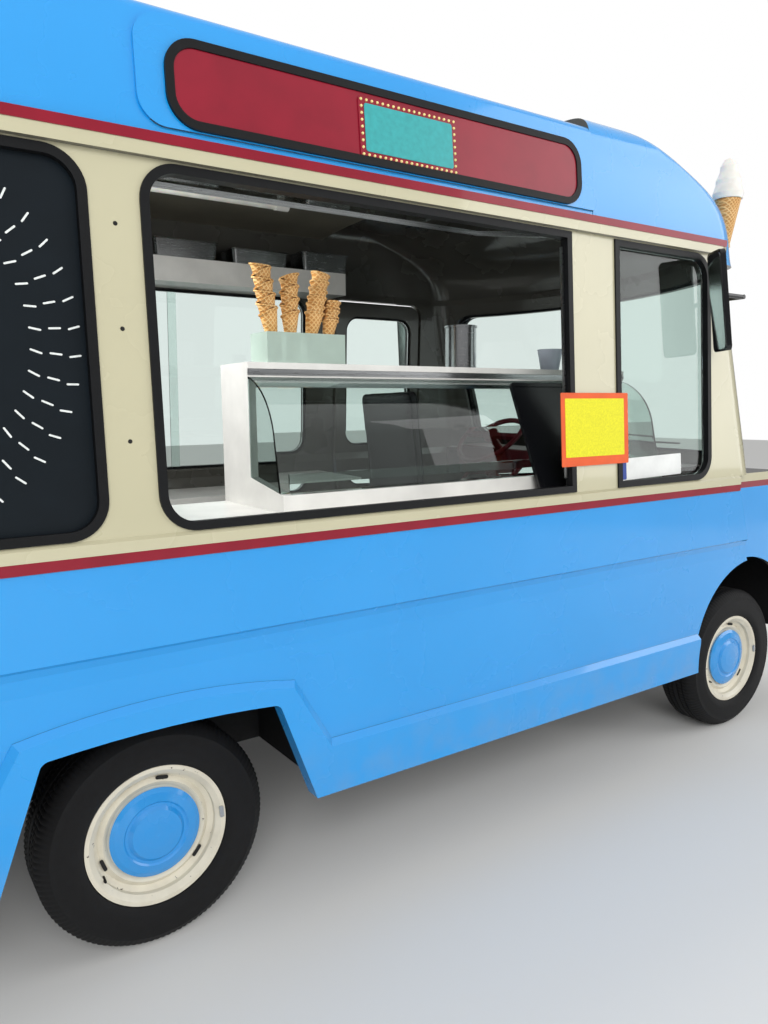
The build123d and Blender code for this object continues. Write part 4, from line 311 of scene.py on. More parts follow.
def deck():
    """Grey covering on top of the floor, and near-black painted shade on its boxes' sides and underside."""
    shader = Shader("deck_covering", srgb(100, 100, 98), 0.75, Specular_IOR_Level=0.3)
    speck = shader.steps(shader.noise(70.0), 0.3, 0.7)
    cover = shader.blend(speck, srgb(92, 92, 90), srgb(110, 110, 107))
    # near black wherever the covering isn't: painted shade on the boxes' sides and the underside
    painted_shade = shader.blend(speck, srgb(20, 20, 21), srgb(27, 27, 28))
    up = shader.add("ShaderNodeSeparateXYZ", Vector=shader.normal()).outputs["Z"]
    level = shader.math("GREATER_THAN", up, 0.5)
    high = shader.math("GREATER_THAN", shader.axis("Z"), COVER_Z)
    shader.color(shader.blend(shader.math("MULTIPLY", level, high), painted_shade, cover))
    shader.bump(shader.noise(280.0, 6.0), 0.0006)
    return shader.material


def wafer_material():
    """Baked wafer with a crossed grid: its sunk lines are darker, as toast and as painted shade, and the
    creases under the rims get painted shade.
    """
    shader = Shader("wafer", srgb(226, 170, 104), 0.7)
    toast = shader.steps(shader.noise(26.0), 0.3, 0.7)
    waves = []
    for angle in (0.7, -0.7):
        where = shader.add("ShaderNodeMapping", Vector=shader.place(), Rotation=(0.0, angle, 0.0))
        waves.append(shader.add("ShaderNodeTexWave", Vector=where.outputs[0], Scale=30.0).outputs["Fac"])
    grid = shader.steps(shader.math("MAXIMUM", *waves), 0.55, 0.95)
    # sunk lines darker than the raised ones: toasted tone and painted shade
    pressed_toast_and_shade = shader.blend(toast, srgb(196, 136, 72), srgb(214, 158, 92))
    raised = shader.blend(toast, srgb(232, 184, 118), srgb(246, 206, 146))
    # painted shade in the creases under the rims, from ambient occlusion
    crease_shade = shader.steps(shader.add("ShaderNodeAmbientOcclusion", Distance=0.010).outputs["AO"], 0.35, 0.85)
    shader.color(shader.blend(crease_shade, srgb(128, 74, 34), shader.blend(grid, pressed_toast_and_shade, raised)))
    shader.bump(grid, 0.002)
    return shader.material


MATT = {"Specular_IOR_Level": 0.3}
LOOKS = {  # look: (material, the record's slot)
    "blue": (body_paint("sky_blue_paint", BLUE), "sky_blue_paint"),
    "cream": (body_paint("cream_paint", SHADED_CREAM), "cream_paint"),
    "banded": (banded_paint("banded_paint"), "sky_blue_paint"),
    "cowl": (banded_paint("cowl_paint", edge=COWL_W - 0.004), "sky_blue_paint"),
    "crimson": (plain("crimson_paint", CRIMSON, 0.3, grain=8.0, Coat_Weight=0.25, **MATT), "crimson_paint"),
    "under": (
        plain("underbody", srgb(22, 22, 23), 0.8, grain=20.0, depth=0.001, Specular_IOR_Level=0.25),
        "underbody_paint",
    ),
    "iron": (plain("iron", srgb(84, 82, 80), 0.6, 0.6, grain=30.0, depth=0.001), "cast_iron"),
    "exhaust": (plain("exhaust", srgb(112, 96, 84), 0.55, 0.8, grain=18.0), "exhaust_steel"),
    "rim": (chipped("rim_paint", srgb(214, 208, 190), srgb(60, 50, 44), 0.68), "wheel_paint"),
    "hub": (body_paint("hub_cap_paint", srgb(26, 142, 216), lined=False, dust=0.05), "hub_cap_paint"),
    "tyre": (plain("tyre_rubber", srgb(20, 20, 21), 0.7, grain=60.0, depth=0.0006, **MATT), "tyre"),
    "rubber": (plain("seal_rubber", srgb(15, 16, 18), 0.5, grain=30.0, depth=0.0004, **MATT), "black_rubber"),
    "black": (plain("black_plastic", srgb(14, 15, 18), 0.24, grain=30.0), "black_plastic"),
    "glass": (glass("window_glass", srgb(222, 234, 230)), "window_glass"),
    "frosted": (frosted("frosted_acrylic", srgb(206, 226, 214)), "frosted_glass"),
    "lamp_glass": (ribbed_glass("lamp_glass", srgb(240, 244, 246)), "lamp_glass"),
    "chrome": (brushed("chrome", srgb(205, 205, 208), 0.1), "chrome"),
    "aluminium": (brushed("aluminium", srgb(176, 178, 180)), "hatch_aluminium"),
    "steel": (brushed("steel", srgb(188, 190, 192), 0.24), "tray_steel"),
    "signal": (signal_material(), "amber_lens"),
    "board": (plain("chalkboard", srgb(14, 22, 28), 0.45, Specular_IOR_Level=0.25), "chalkboard"),
    "chalk": (plain("chalk", srgb(222, 226, 224), 0.9, grain=120.0), "cream_paint"),
    "white": (
        plain("white_laminate", srgb(232, 231, 226), 0.25, grain=6.0, Coat_Weight=0.3),
        "cabinet_white",
    ),
    "wafer": (wafer_material(), "wafer"),
    "swirl": (
        plain("swirl_plastic", srgb(240, 238, 230), 0.35, grain=14.0, Subsurface_Weight=0.2),
        "swirl_white",
    ),
    "vinyl": (plain("seat_vinyl", srgb(44, 43, 46), 0.45, grain=90.0, depth=0.0005), "seat_vinyl"),
    "maroon": (plain("dash_plastic", srgb(98, 24, 34), 0.4, grain=60.0, depth=0.0003), "dash_maroon"),
    "floor": (deck(), "floor_grey"),
    "teal": (plain("sign_teal", srgb(52, 160, 162), 0.35, grain=60.0), "sky_blue_paint"),
    "bulb": (plain("sign_bulb", srgb(240, 222, 150), 0.3), "cream_paint"),
    "yellow": (plain("yellow_card", srgb(226, 220, 24), 0.6, grain=160.0), "cream_paint"),
    "orange": (plain("orange_card", srgb(226, 92, 40), 0.6), "crimson_paint"),
    "plate_white": (plain("plate_white", srgb(224, 226, 224), 0.35), "cream_paint"),
    "plate_blue": (plain("plate_blue", srgb(24, 62, 150), 0.35), "sky_blue_paint"),
    "mirror": (brushed("mirror_silver", srgb(210, 214, 214), 0.03), "chrome"),
    # near black: painted shade in the disc slots, and the screw heads' own dark colour
    "dark": (plain("slot_shade_and_screw_black", srgb(30, 30, 30), 0.8), "black_rubber"),
    "liner": (plain("liner_grey", srgb(112, 108, 96), 0.7, grain=5.0), "floor_grey"),
    "pale": (plain("pale_plastic", srgb(206, 216, 230), 0.3), "cabinet_white"),
}
LOOKS["bumper"] = (LOOKS["cream"][0], "bumper_paint")
LOOKS["welt"] = (LOOKS["rubber"][0], "seat_vinyl")

NODE_LOOKS = {  # look: nodes
    "under": ["chassis_frame", "rear_axle", "front_suspension", "fuel_tank"],
    "iron": ["knuckle_right", "knuckle_left", "engine_block"],
    "exhaust": ["exhaust"],
    "blue": ["lower_side_right", "lower_side_left", "roof", "roof_cap", "bonnet"],
    "cream": ["upper_side_right", "upper_side_left", "windscreen_surround"],
    "banded": ["rear_wall", "driver_door"],
    "cowl": ["front_cowl"],
    "crimson": ["stripes", "sign_panels"],
    "rubber": ["sign_rubber", "window_seals", "door_seal"],
    "glass": ["windscreen", "body_glass", "hatch_glass", "door_glass", "display_glass"],
    "aluminium": ["hatch_frame"],
    "board": ["chalkboards"],
    "black": ["grille", "mirrors"],
    "chrome": ["headlamps", "hinges"],
    "lamp_glass": ["headlamp_lenses"],
    "signal": ["signal_lamps"],
    "bumper": ["bumpers"],
    "wafer": ["roof_cones"],
    "swirl": ["roof_swirls"],
    "frosted": ["cone_holder"],
    "floor": ["floor"],
    "white": ["display_cabinet", "back_counter"],
    "steel": ["display_tubs"],
    "vinyl": ["driver_seat"],
    "maroon": ["dashboard"],
}
WHEELS = ("front_right", "front_left", "rear_right", "rear_left")
for look, part in (("tyre", "tyre"), ("rim", "rim"), ("hub", "hub_cap")):
    NODE_LOOKS[look] = [f"{part}_{wheel}" for wheel in WHEELS]
SHARP_ANGLE = math.radians(32)


def dress(obj, look):
    """A look's material on an object, with smooth shading and sharp edges kept."""
    material, slot_name = LOOKS[look]
    obj.data.materials.clear()
    obj.data.materials.append(material)
    obj.data.shade_smooth()
    obj.data.set_sharp_from_angle(angle=SHARP_ANGLE)


for look, names in NODE_LOOKS.items():
    for name in names:
        dress(NODES[name], look)


# Mesh helpers
def joined(name, parts):
    """One mesh from several (vertices, faces) pairs."""
    vertices, faces = [], []
    for part_vertices, part_faces in parts:
        faces += [tuple(i + len(vertices) for i in face) for face in part_faces]
        vertices += part_vertices
    mesh = bpy.data.meshes.new(name)
    mesh.from_pydata(vertices, [], faces)
    return mesh


def shown(name, mesh, look, place, body="truck"):
    """A new visible mesh that rides on a body."""
    mesh.transform(place)
    obj = bpy.data.objects.new(name, mesh)
    bpy.context.scene.collection.objects.link(obj)
    dress(obj, look)
    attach(obj, body)
    return obj


def piece(name, parts, look, place=Matrix.Identity(4), body="truck"):
    """A new piece from (vertices, faces) pairs."""
    return shown(name, joined(name, parts), look, place, body)


def moved(part, place):
    """A (vertices, faces) pair under a matrix."""
    return [tuple(place @ Vector(v)) for v in part[0]], part[1]


def shift(x, y, z):
    """A move without a turn."""
    return Matrix.Translation((x, y, z))


def band(low, high, count):
    """The faces between two rings of count points that start at low and high."""
    return [(low + i, low + (i + 1) % count, high + (i + 1) % count, high + i) for i in range(count)]


def stacked(rings):
    """A closed form through (outline, height) pairs of as many points."""
    count = len(rings[0][0])
    vertices = [(x, y, z) for outline, z in rings for x, y in outline]
    faces = [tuple(reversed(range(count)))]
    for n in range(len(rings) - 1):
        faces += band(n * count, (n + 1) * count, count)
    faces.append(tuple(range(len(vertices) - count, len(vertices))))
    return vertices, faces


def prism(outline, depth):
    """An outline, counter-clockwise in x and y, drawn out along z."""
    return stacked([(outline, 0), (outline, depth)])


def box(low, high):
    """A box between two corners."""
    outline = [(low[0], low[1]), (high[0], low[1]), (high[0], high[1]), (low[0], high[1])]
    return moved(prism(outline, high[2] - low[2]), shift(0, 0, low[2]))


def round_rectangle(width, height, radius, steps=6):
    """The outline of a rounded rectangle about the origin."""
    points = []
    for corner in range(4):
        centre_x = (width / 2 - radius) * (1 if corner in (0, 3) else -1)
        centre_y = (height / 2 - radius) * (1 if corner < 2 else -1)
        for step in range(steps + 1):
            angle = math.pi / 2 * (corner + step / steps)
            points.append((centre_x + radius * math.cos(angle), centre_y + radius * math.sin(angle)))
    return points


def slab(width, height, radius, depth, steps=6):
    """A rounded plate from z = 0 to its depth."""
    return prism(round_rectangle(width, height, radius, steps), depth)


def frame_prism(outer, inner, depth):
    """A flat frame between two outlines of as many points, drawn out along z."""
    count = len(outer)
    vertices = [(x, y, z) for z in (0, depth) for ring in (outer, inner) for x, y in ring]
    faces = []
    for i in range(count):
        j = (i + 1) % count
        faces.append((i, count + i, count + j, j))
        faces.append((2 * count + i, 2 * count + j, 3 * count + j, 3 * count + i))
        faces.append((i, j, 2 * count + j, 2 * count + i))
        faces.append((count + i, 3 * count + i, 3 * count + j, count + j))
    return vertices, faces


def swept(profiles, closed=True):
    """Profiles of (radius, height), set evenly round z and each joined to the next."""
    steps, count = len(profiles), len(profiles[0])
    vertices, faces = [], []
    for s, profile in enumerate(profiles):
        angle = 2 * math.pi * s / steps
        vertices += [(r * math.cos(angle), r * math.sin(angle), h) for r, h in profile]
        a, b = s * count, (s + 1) % steps * count
        for i in range(count if closed else count - 1):
            j = (i + 1) % count
            faces.append((a + i, b + i, b + j, a + j))
    return vertices, faces


def lathe(profile, steps=48, closed=False):
    """One profile turned about z; ends at radius 0 meet in a point."""
    return swept([profile] * steps, closed)


def turned(along, up, out, origin):
    """A place whose local x, y and z run along, up and out from an origin."""
    return Matrix.Translation(origin) @ Matrix((along, up, out)).transposed().to_4x4()


def across_place(x, y=0.0, z=0.0, way=1):
    """A place whose local z runs forward, x to the left and y up; way -1 faces the rear."""
    return Matrix(((0, 0, way, x), (way, 0, 0, y), (0, 1, 0, z), (0, 0, 0, 1)))


def wall_place(side, lean, origin, out):
    """A place on a leaning wall: local x runs right, y up the wall and z outwards."""
    up = lean.normalized()
    along = Vector((-side, 0, 0))
    normal = along.cross(up)
    return turned(along, up, normal, origin + normal * out)


def side_place(side, x, z, out=0.0):
    """A place on a side wall's window zone."""
    rise, run = CANT_Z - SILL_Z, CANT_W - SILL_W
    width = SILL_W + run * (z - SILL_Z) / rise
    return wall_place(side, Vector((0, side * run, rise)), Vector((x, side * width, z)), out)


def roof_place(side, x, z, out=0.0):
    """A place on the roof's sign pad."""
    width = ROOF_W - ROOF_LEAN * (z - ROOF_Z)
    return wall_place(side, Vector((0, -side * ROOF_LEAN, 1)), Vector((x, side * width, z)), out)


# Tyres with treads, which stand for the plain ones
TREAD_DEPTH = 0.007
TREAD_STEPS = 360
TREAD_INSET = 0.026  # from the side wall's face to the tread's edge
RIBS = 5
RIB_EDGE = 0.003
GROOVE_HALF = 0.002
SIPE_DEPTH = 0.45 * TREAD_DEPTH
SIDE_RINGS = (  # (radius, how far in from the side wall's face)
    (0.1822, 0.0245), (0.1995, 0.0175), (0.2025, 0.0085), (0.214, 0.001), (0.236, 0.0),
    (0.240, 0.0015), (0.262, 0.0), (0.266, 0.002), (0.288, 0.002),
)


def tyre(wheel):
    """A tyre with four grooves round it, cut shoulders and ribbed side walls."""
    low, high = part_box(f"tyre_{wheel}")
    radius = (high[2] - low[2]) / 2
    half = (high[1] - low[1]) / 2
    profile = [(r, inset - half) for r, inset in SIDE_RINGS]
    profile += [(radius - 0.016, 0.014 - half), (radius - 0.006, TREAD_INSET - half)]
    edge = half - TREAD_INSET - 0.006
    pitch = 2 * edge / RIBS
    tread = []
    for n in range(RIBS):
        start = n * pitch - edge
        end = start + pitch
        tread += [(radius - 0.0008, start + RIB_EDGE), (radius - 0.0008, end - RIB_EDGE)]
        if n < RIBS - 1:
            tread += [(radius - TREAD_DEPTH, end - GROOVE_HALF), (radius - TREAD_DEPTH, end + GROOVE_HALF)]
    ring = profile + tread + [(r, -h) for r, h in reversed(profile)]
    vertices, faces = lathe(ring, TREAD_STEPS, closed=True)
    first, last = len(profile) - 2, len(profile) + len(tread) + 1
    cut = []
    for index, (x, y, h) in enumerate(vertices):
        step, point = divmod(index, len(ring))
        zigzag = 1 if h > 0 else 0
        if first <= point <= last and (step + zigzag) % 3 == 0 and abs(h) > pitch * 0.5:
            scale = 1 - SIPE_DEPTH / math.hypot(x, y)
            x, y = x * scale, y * scale
        cut.append((x, y, h))
    place = Matrix.Translation(middle(f"tyre_{wheel}")) @ Matrix.Rotation(math.pi / 2, 4, "X")
    obj = piece(f"treaded_tyre_{wheel}", [(cut, faces)], "tyre", place, f"wheel_{wheel}")
    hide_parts(f"tyre_{wheel}")


for wheel in WHEELS:
    tyre(wheel)


# Wheel details: a balance weight on the flange, a valve, and dark plates in the disc's slots as painted shade
def wheel_details(wheel):
    """The small pieces on one wheel."""
    side = -1 if wheel.endswith("right") else 1
    centre = middle(f"rim_{wheel}")
    low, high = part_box(f"rim_{wheel}")
    face = low[1] if side < 0 else high[1]
    outward = Matrix.Rotation(-side * math.pi / 2, 4, "X")

    def around(angle, radius, back):
        turn = Matrix.Rotation(math.radians(angle), 4, "Y")
        return shift(centre.x, face, centre.z) @ turn @ shift(radius, -side * back, 0) @ outward

    body = f"wheel_{wheel}"
    weight = moved(slab(0.012, 0.034, 0.004, 0.006), around(-4, 0.187, 0.003))
    piece(f"balance_weight_{wheel}", [weight], "steel", body=body)
    stem = lathe([(0, 0), (0.005, 0), (0.004, 0.022), (0.003, 0.03), (0, 0.03)], 16)
    piece(f"valve_{wheel}", [moved(stem, around(150, 0.171, 0.03))], "rubber", body=body)
    # dark plates set back in the disc: painted shade in its slots
    slot = slab(0.010, 0.036, 0.0045, 0.003)
    slot_shades = [moved(slot, around(turn, 0.154, 0.031)) for turn in (40, 160, 280)]
    piece(f"disc_slot_shades_{wheel}", slot_shades, "dark", body=body)


for wheel in WHEELS:
    wheel_details(wheel)


# Roof signs: a plain teal plate with small bulbs round it on each side
BULB_R = 0.0042
MARQUEE_X = REAR_AXLE + 0.803
MARQUEE_Z = 2.272
MARQUEE_SIZE = (0.352, 0.168)
MARQUEE_OUT = 0.0135
MARQUEE_T = 0.003
BULB_BORDER = 0.018
BULBS = (19, 9)  # along and up


def marquee(side, label):
    """The teal plate and its bulbs on one side of the roof."""
    place = roof_place(side, MARQUEE_X, MARQUEE_Z, MARQUEE_OUT)
    width, height = MARQUEE_SIZE
    back = slab(width, height, 0.012, MARQUEE_T)
    piece(f"marquee_back_{label}", [back], "crimson", place)
    face = slab(width - 2 * BULB_BORDER, height - 2 * BULB_BORDER, 0.008, 0.002)
    piece(f"marquee_face_{label}", [face], "teal", place @ shift(0, 0, MARQUEE_T))
    across, up = (width - BULB_BORDER) / 2, (height - BULB_BORDER) / 2
    columns, rows = BULBS
    spots = [(-across + 2 * across * i / (columns - 1), s * up) for i in range(columns) for s in (-1, 1)]
    spots += [(s * across, -up + 2 * up * i / (rows - 1)) for i in range(1, rows - 1) for s in (-1, 1)]
    dome = lathe([(BULB_R, 0), (BULB_R * 0.8, BULB_R * 0.7), (0, BULB_R)], 10)
    bulbs = [moved(dome, shift(x, y, MARQUEE_T)) for x, y in spots]
    piece(f"marquee_bulbs_{label}", bulbs, "bulb", place)


for side, label in SIDES:
    marquee(side, label)

# Cards and plates, all blank
CARD_PLACE = (REAR_AXLE + 1.605, 1.409, 0.0075)  # along, up and out
CARD_SIZE = (0.356, 0.258)
CARD_T = 0.0015
WINDOW_PLATE_PLACE = (REAR_AXLE + 1.948, 1.257, -0.0158)
WINDOW_PLATE = (0.375, 0.082)
WINDOW_PLATE_T = 0.002


def card():
    """A yellow card on an orange one, on the pillar beside the hatch."""
    place = side_place(-1, *CARD_PLACE)
    width, height = CARD_SIZE
    piece("card_border", [slab(width, height, 0.004, CARD_T)], "orange", place)
    face = slab(width - 0.044, height - 0.052, 0.003, 0.001)
    piece("card_face", [face], "yellow", place @ shift(-0.002, 0.006, CARD_T))


def window_plate():
    """A white plate with a blue band, behind the cab's side window."""
    width, height = WINDOW_PLATE
    place = side_place(-1, *WINDOW_PLATE_PLACE) @ Matrix.Rotation(math.radians(1.2), 4, "Z")
    piece("window_plate", [slab(width, height, 0.006, WINDOW_PLATE_T)], "plate_white", place)
    strip = slab(0.036, height - 0.006, 0.004, 0.0006)
    strip_place = place @ shift(-width / 2 + 0.020, 0, WINDOW_PLATE_T)
    piece("window_plate_band", [strip], "plate_blue", strip_place)


card()
window_plate()

# Screws on the pillars
SCREW_Z = (1.419, 1.687, 1.932)
SCREW_X = REAR_AXLE - 0.060
for side, label in SIDES:
    head = lathe([(0.0055, 0), (0.0045, 0.0018), (0, 0.0022)], 14)
    screws = [moved(head, side_place(side, SCREW_X, z)) for z in SCREW_Z]
    piece(f"pillar_screws_{label}", screws, "dark")

# Chalk on the boards: short strokes set in arcs
CHALK_ARCS = 3
CHALK_STROKES = 26
CHALK_START = -70  # degrees
CHALK_STEP = 9.2
CHALK_R = 0.30
CHALK_GAP = 0.045
CHALK_DEPTH = 0.0119  # how far in from the wall's face


def chalk(side, label):
    """Chalk strokes on one quarter board."""
    strokes = []
    stroke = slab(0.028, 0.0045, 0.002, 0.0006, 2)
    for arc in range(CHALK_ARCS):
        for n in range(CHALK_STROKES):
            angle = math.radians(CHALK_START + n * CHALK_STEP)
            radius = CHALK_R + arc * CHALK_GAP
            x, y = radius * math.cos(angle) * 0.95, 0.02 + radius * math.sin(angle) * 1.05
            turn = shift(x, y, 0) @ Matrix.Rotation(angle + 0.25 * (arc - 1), 4, "Z")
            strokes.append(moved(stroke, turn))
    place = side_place(side, QUARTER_MIDDLE, WINDOW_MIDDLE, -CHALK_DEPTH)
    piece(f"chalk_strokes_{label}", strokes, "chalk", place)


for side, label in SIDES:
    chalk(side, label)

# Serving hatch: an aluminium channel up the front edge
CHANNEL = slab(0.008, 0.80, 0.002, 0.010, 2)
piece("hatch_channel", [CHANNEL], "aluminium", side_place(-1, HATCH_FRONT - 0.018, WINDOW_MIDDLE, -0.022))

# Cabinet: a ridged rail under the top board, and a blank black board that leans on the glass
glass_low, glass_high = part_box("display_glass")
RIDGES = (  # (inset at the ends, outer face, inner face, lowest and highest edge)
    (0.0, -0.6512, -0.6452, 1.6050, 1.6168),
    (0.0, -0.6482, -0.6452, 1.5985, 1.6040),
    (0.031, -0.6440, -0.6256, 1.5600, 1.5797),
    (0.031, -0.6470, -0.6440, 1.5640, 1.5690),
)
ridges = []
for inset, out, back, low, high in RIDGES:
    ridges.append(box((glass_low[0] + inset, out, low), (glass_high[0] - inset, back, high)))
piece("cabinet_ridges", ridges, "aluminium")

BOARD_SIZE = (0.290, 0.4165)
BOARD_FOOT = Vector((REAR_AXLE + 1.550, -0.907, 1.1905))  # middle of its back's lower edge
BOARD_LEAN = math.radians(22.6)
BOARD_T = 0.010
BOARD_RIM = 0.015


def price_board():
    """A framed board with nothing on it."""
    width, height = BOARD_SIZE
    up = Vector((0, math.sin(BOARD_LEAN), math.cos(BOARD_LEAN)))
    along = Vector((1, 0, 0))
    place = turned(along, up, along.cross(up), BOARD_FOOT + up * height / 2)
    outer = round_rectangle(width, height, 0.010)
    inner = round_rectangle(width - 2 * BOARD_RIM, height - 2 * BOARD_RIM, 0.006)
    rim = moved(frame_prism(outer, inner, 0.004), shift(0, 0, BOARD_T))
    piece("price_board", [prism(outer, BOARD_T), rim], "black", place)


price_board()

# Ice cream in the tubs
FLAVOURS = (
    srgb(238, 226, 190), srgb(112, 66, 42), srgb(214, 96, 118), srgb(196, 210, 150),
    srgb(236, 196, 150), srgb(244, 240, 230), srgb(150, 92, 140), srgb(226, 178, 92),
)
TUB_WALL = 0.022
TUB_FLOOR_Z = 1.0405
FILL_DEPTH = 0.082
FOLD = 0.007
SCOOP = 0.026
FILL_STEPS = (16, 26)


def ice_cream(number, centre, half_x, half_y, flavour):
    """One tub's filling, with a scooped and folded top."""
    name = f"ice_cream_{number}"
    LOOKS[name] = (plain(name, flavour, 0.55, grain=34.0, depth=0.004, Subsurface_Weight=0.15), "swirl_white")
    columns, rows = FILL_STEPS
    vertices, faces = [], []
    for j in range(rows + 1):
        for i in range(columns + 1):
            u, v = 2 * i / columns - 1, 2 * j / rows - 1
            x, y = half_x * u * math.sqrt(1 - v * v / 7), half_y * v * math.sqrt(1 - u * u / 7)
            fold = math.sin(46 * y + 2.1 * math.sin(38 * x + number)) * math.cos(24 * x - number)
            dip = math.exp(-((u - 0.2) ** 2 + (v + 0.45) ** 2) / 0.22)
            vertices.append((x, y, FILL_DEPTH + FOLD * fold - SCOOP * dip))
    row = columns + 1
    ring = list(range(row)) + [j * row + columns for j in range(1, rows + 1)]
    ring += [rows * row + i for i in reversed(range(columns))] + [j * row for j in reversed(range(1, rows))]
    for j in range(rows):
        for a in range(j * row, j * row + columns):
            faces.append((a, a + 1, a + row + 1, a + row))
    top = len(vertices)
    vertices += [(vertices[i][0], vertices[i][1], 0) for i in ring]
    for n, here in enumerate(ring):
        after = (n + 1) % len(ring)
        faces.append((top + n, top + after, ring[after], here))
    faces.append(tuple(reversed(range(top, top + len(ring)))))
    piece(name, [(vertices, faces)], name, shift(*centre, TUB_FLOOR_Z))


tray_low, tray_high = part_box("display_tubs")
tub_length = (tray_high[0] - tray_low[0] - TUB_WALL) / len(FLAVOURS)
tub_half = ((tub_length - TUB_WALL) / 2 - 0.001, (tray_high[1] - tray_low[1]) / 2 - TUB_WALL - 0.001)
for index, flavour in enumerate(FLAVOURS):
    tub_x = tray_low[0] + TUB_WALL / 2 + (index + 0.5) * tub_length
    ice_cream(index + 1, (tub_x, middle("display_tubs").y), *tub_half, flavour)

# Stacks of wafer cones in the holder
STACKS = (  # (x, lowest rim, highest rim, rims, rim radius, lean to the front, slant of rims)
    (REAR_AXLE + 0.526, 0.070, 0.214, 8, 0.0300, -9.0, 0.0085),
    (REAR_AXLE + 0.594, 0.066, 0.184, 7, 0.0290, 0.0, 0.0085),
    (REAR_AXLE + 0.671, 0.074, 0.203, 6, 0.0300, 11.7, 0.0025),
    (REAR_AXLE + 0.736, 0.052, 0.114, 5, 0.0255, 10.0, 0.0025),
)
WAFER_T = 0.0022
WAFER_TAPER = 0.15
WAFER_LENGTH = 0.150
WAFER_STEPS = 40
WAFER_FLARE = 0.0032  # how far a rim stands out
WAFER_Y = -0.585
HOLDER_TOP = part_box("cone_holder")[1][2]


def wafer(rim_z, rim_r, slant, phase):
    """One cone of a stack: a thin shell whose rim rises to one side."""
    profiles = []
    for step in range(WAFER_STEPS):
        rise = slant * math.cos(2 * math.pi * step / WAFER_STEPS - phase)
        edge = rim_r + WAFER_TAPER * rise
        profiles.append((
            (rim_r - WAFER_TAPER * WAFER_LENGTH, rim_z - WAFER_LENGTH),
            (edge - 0.0012, rim_z + rise - 0.0080),
            (edge + 0.0030, rim_z + rise - 0.0050),
            (edge + WAFER_FLARE, rim_z + rise),
            (edge + WAFER_FLARE - WAFER_T, rim_z + rise - 0.0004),
            (rim_r - WAFER_T - WAFER_TAPER * 0.04, rim_z - 0.040),
        ))
    return swept(profiles)


for number, (x, first_rim, last_rim, rims, rim_r, lean, slant) in enumerate(STACKS, 1):
    cones = []
    for n in range(rims):
        rim_z = first_rim + (last_rim - first_rim) * n / (rims - 1)
        cones.append(wafer(rim_z, rim_r, slant, math.radians(-35 + 180 * (n % 2))))
    place = shift(x, WAFER_Y, HOLDER_TOP) @ Matrix.Rotation(math.radians(lean), 4, "Y")
    piece(f"wafer_stack_{number}", cones, "wafer", place)

# Inside: a grey headlining, and a tube lamp under it
LINING_X = (-2.12, 0.44)
LINING_HALF = 0.915
LINING_Z = 2.395
LINING_RISE = 0.040
LINING_T = 0.006
LINING_STEPS = 12


def headlining():
    """A thin arched lining under the roof."""
    arch = []
    for i in range(LINING_STEPS + 1):
        angle = math.pi * i / LINING_STEPS
        arch.append((LINING_HALF * math.cos(angle), LINING_Z + LINING_RISE * math.sin(angle)))
    lower = [(y, z - LINING_T) for y, z in reversed(arch)]
    lining = prism(arch + lower, LINING_X[1] - LINING_X[0])
    piece("headlining", [lining], "liner", across_place(LINING_X[0]))


LAMP_X = (REAR_AXLE + 0.080, REAR_AXLE + 1.040)
LAMP_Y = 0.250
LAMP_Z = 2.362
LAMP_R = 0.024
LAMP_CAP = 0.060


def tube_lamp():
    """A tube in two end caps, on two feet."""
    length = LAMP_X[1] - LAMP_X[0]
    radius = LAMP_R - 0.003
    glow = lathe([(0, 0.004), (radius, 0.004), (radius, length - 0.004), (0, length - 0.004)], 28)
    caps, feet = [], []
    for start in (0.0, length - LAMP_CAP):
        end = start + LAMP_CAP
        caps.append(lathe([(0, start), (LAMP_R, start), (LAMP_R, end), (0, end)], 28))
        feet.append(box((-0.012, 0.015, start + 0.018), (0.012, 0.0665, start + 0.042)))
    place = across_place(LAMP_X[0], LAMP_Y, LAMP_Z)
    piece("lamp_tube", [glow], "swirl", place)
    piece("lamp_caps", caps + feet, "white", place)


headlining()
tube_lamp()

# On the shelf and on the cabinet: pans, a steel container and a cup
SHELF_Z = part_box("back_counter")[1][2]
PANS = (  # (from, to, height)
    (REAR_AXLE + 0.600, REAR_AXLE + 0.925, 0.088),
    (REAR_AXLE + 0.985, REAR_AXLE + 1.300, 0.078),
    (REAR_AXLE + 1.370, REAR_AXLE + 1.655, 0.098),
)
PAN_Y = (0.722, 0.888)
PAN_RINGS = (  # (shrink, corner radius, share of the height, rise over that)
    (0.030, 0.018, 0, 0.0003), (0.012, 0.022, 1, -0.006), (0.0, 0.026, 1, -0.005),
    (0.0, 0.026, 1, 0.0), (0.014, 0.020, 1, 0.0), (0.034, 0.016, 0, 0.003),
)
CABINET_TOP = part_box("display_cabinet")[1][2]
CONTAINER_XY = (REAR_AXLE + 1.372, -0.515)
CUP_XY = (REAR_AXLE + 1.800, -0.575)


def pans():
    """Open steel pans with rolled rims."""
    parts = []
    for start, end, height in PANS:
        length, width = end - start, PAN_Y[1] - PAN_Y[0]
        rings = []
        for shrink, radius, share, rise in PAN_RINGS:
            rings.append((round_rectangle(length - shrink, width - shrink, radius), share * height + rise))
        parts.append(moved(stacked(rings), shift((start + end) / 2, sum(PAN_Y) / 2, SHELF_Z)))
    piece("shelf_pans", parts, "steel")


def container():
    """A tall steel container with a rolled rim."""
    profile = [(0, 0.0003), (0.056, 0.0003), (0.060, 0.005), (0.060, 0.156), (0.0635, 0.158), (0.0635, 0.165)]
    profile += [(0.0585, 0.165), (0.0580, 0.006), (0, 0.006)]
    piece("steel_container", [lathe(profile)], "steel", shift(*CONTAINER_XY, CABINET_TOP))


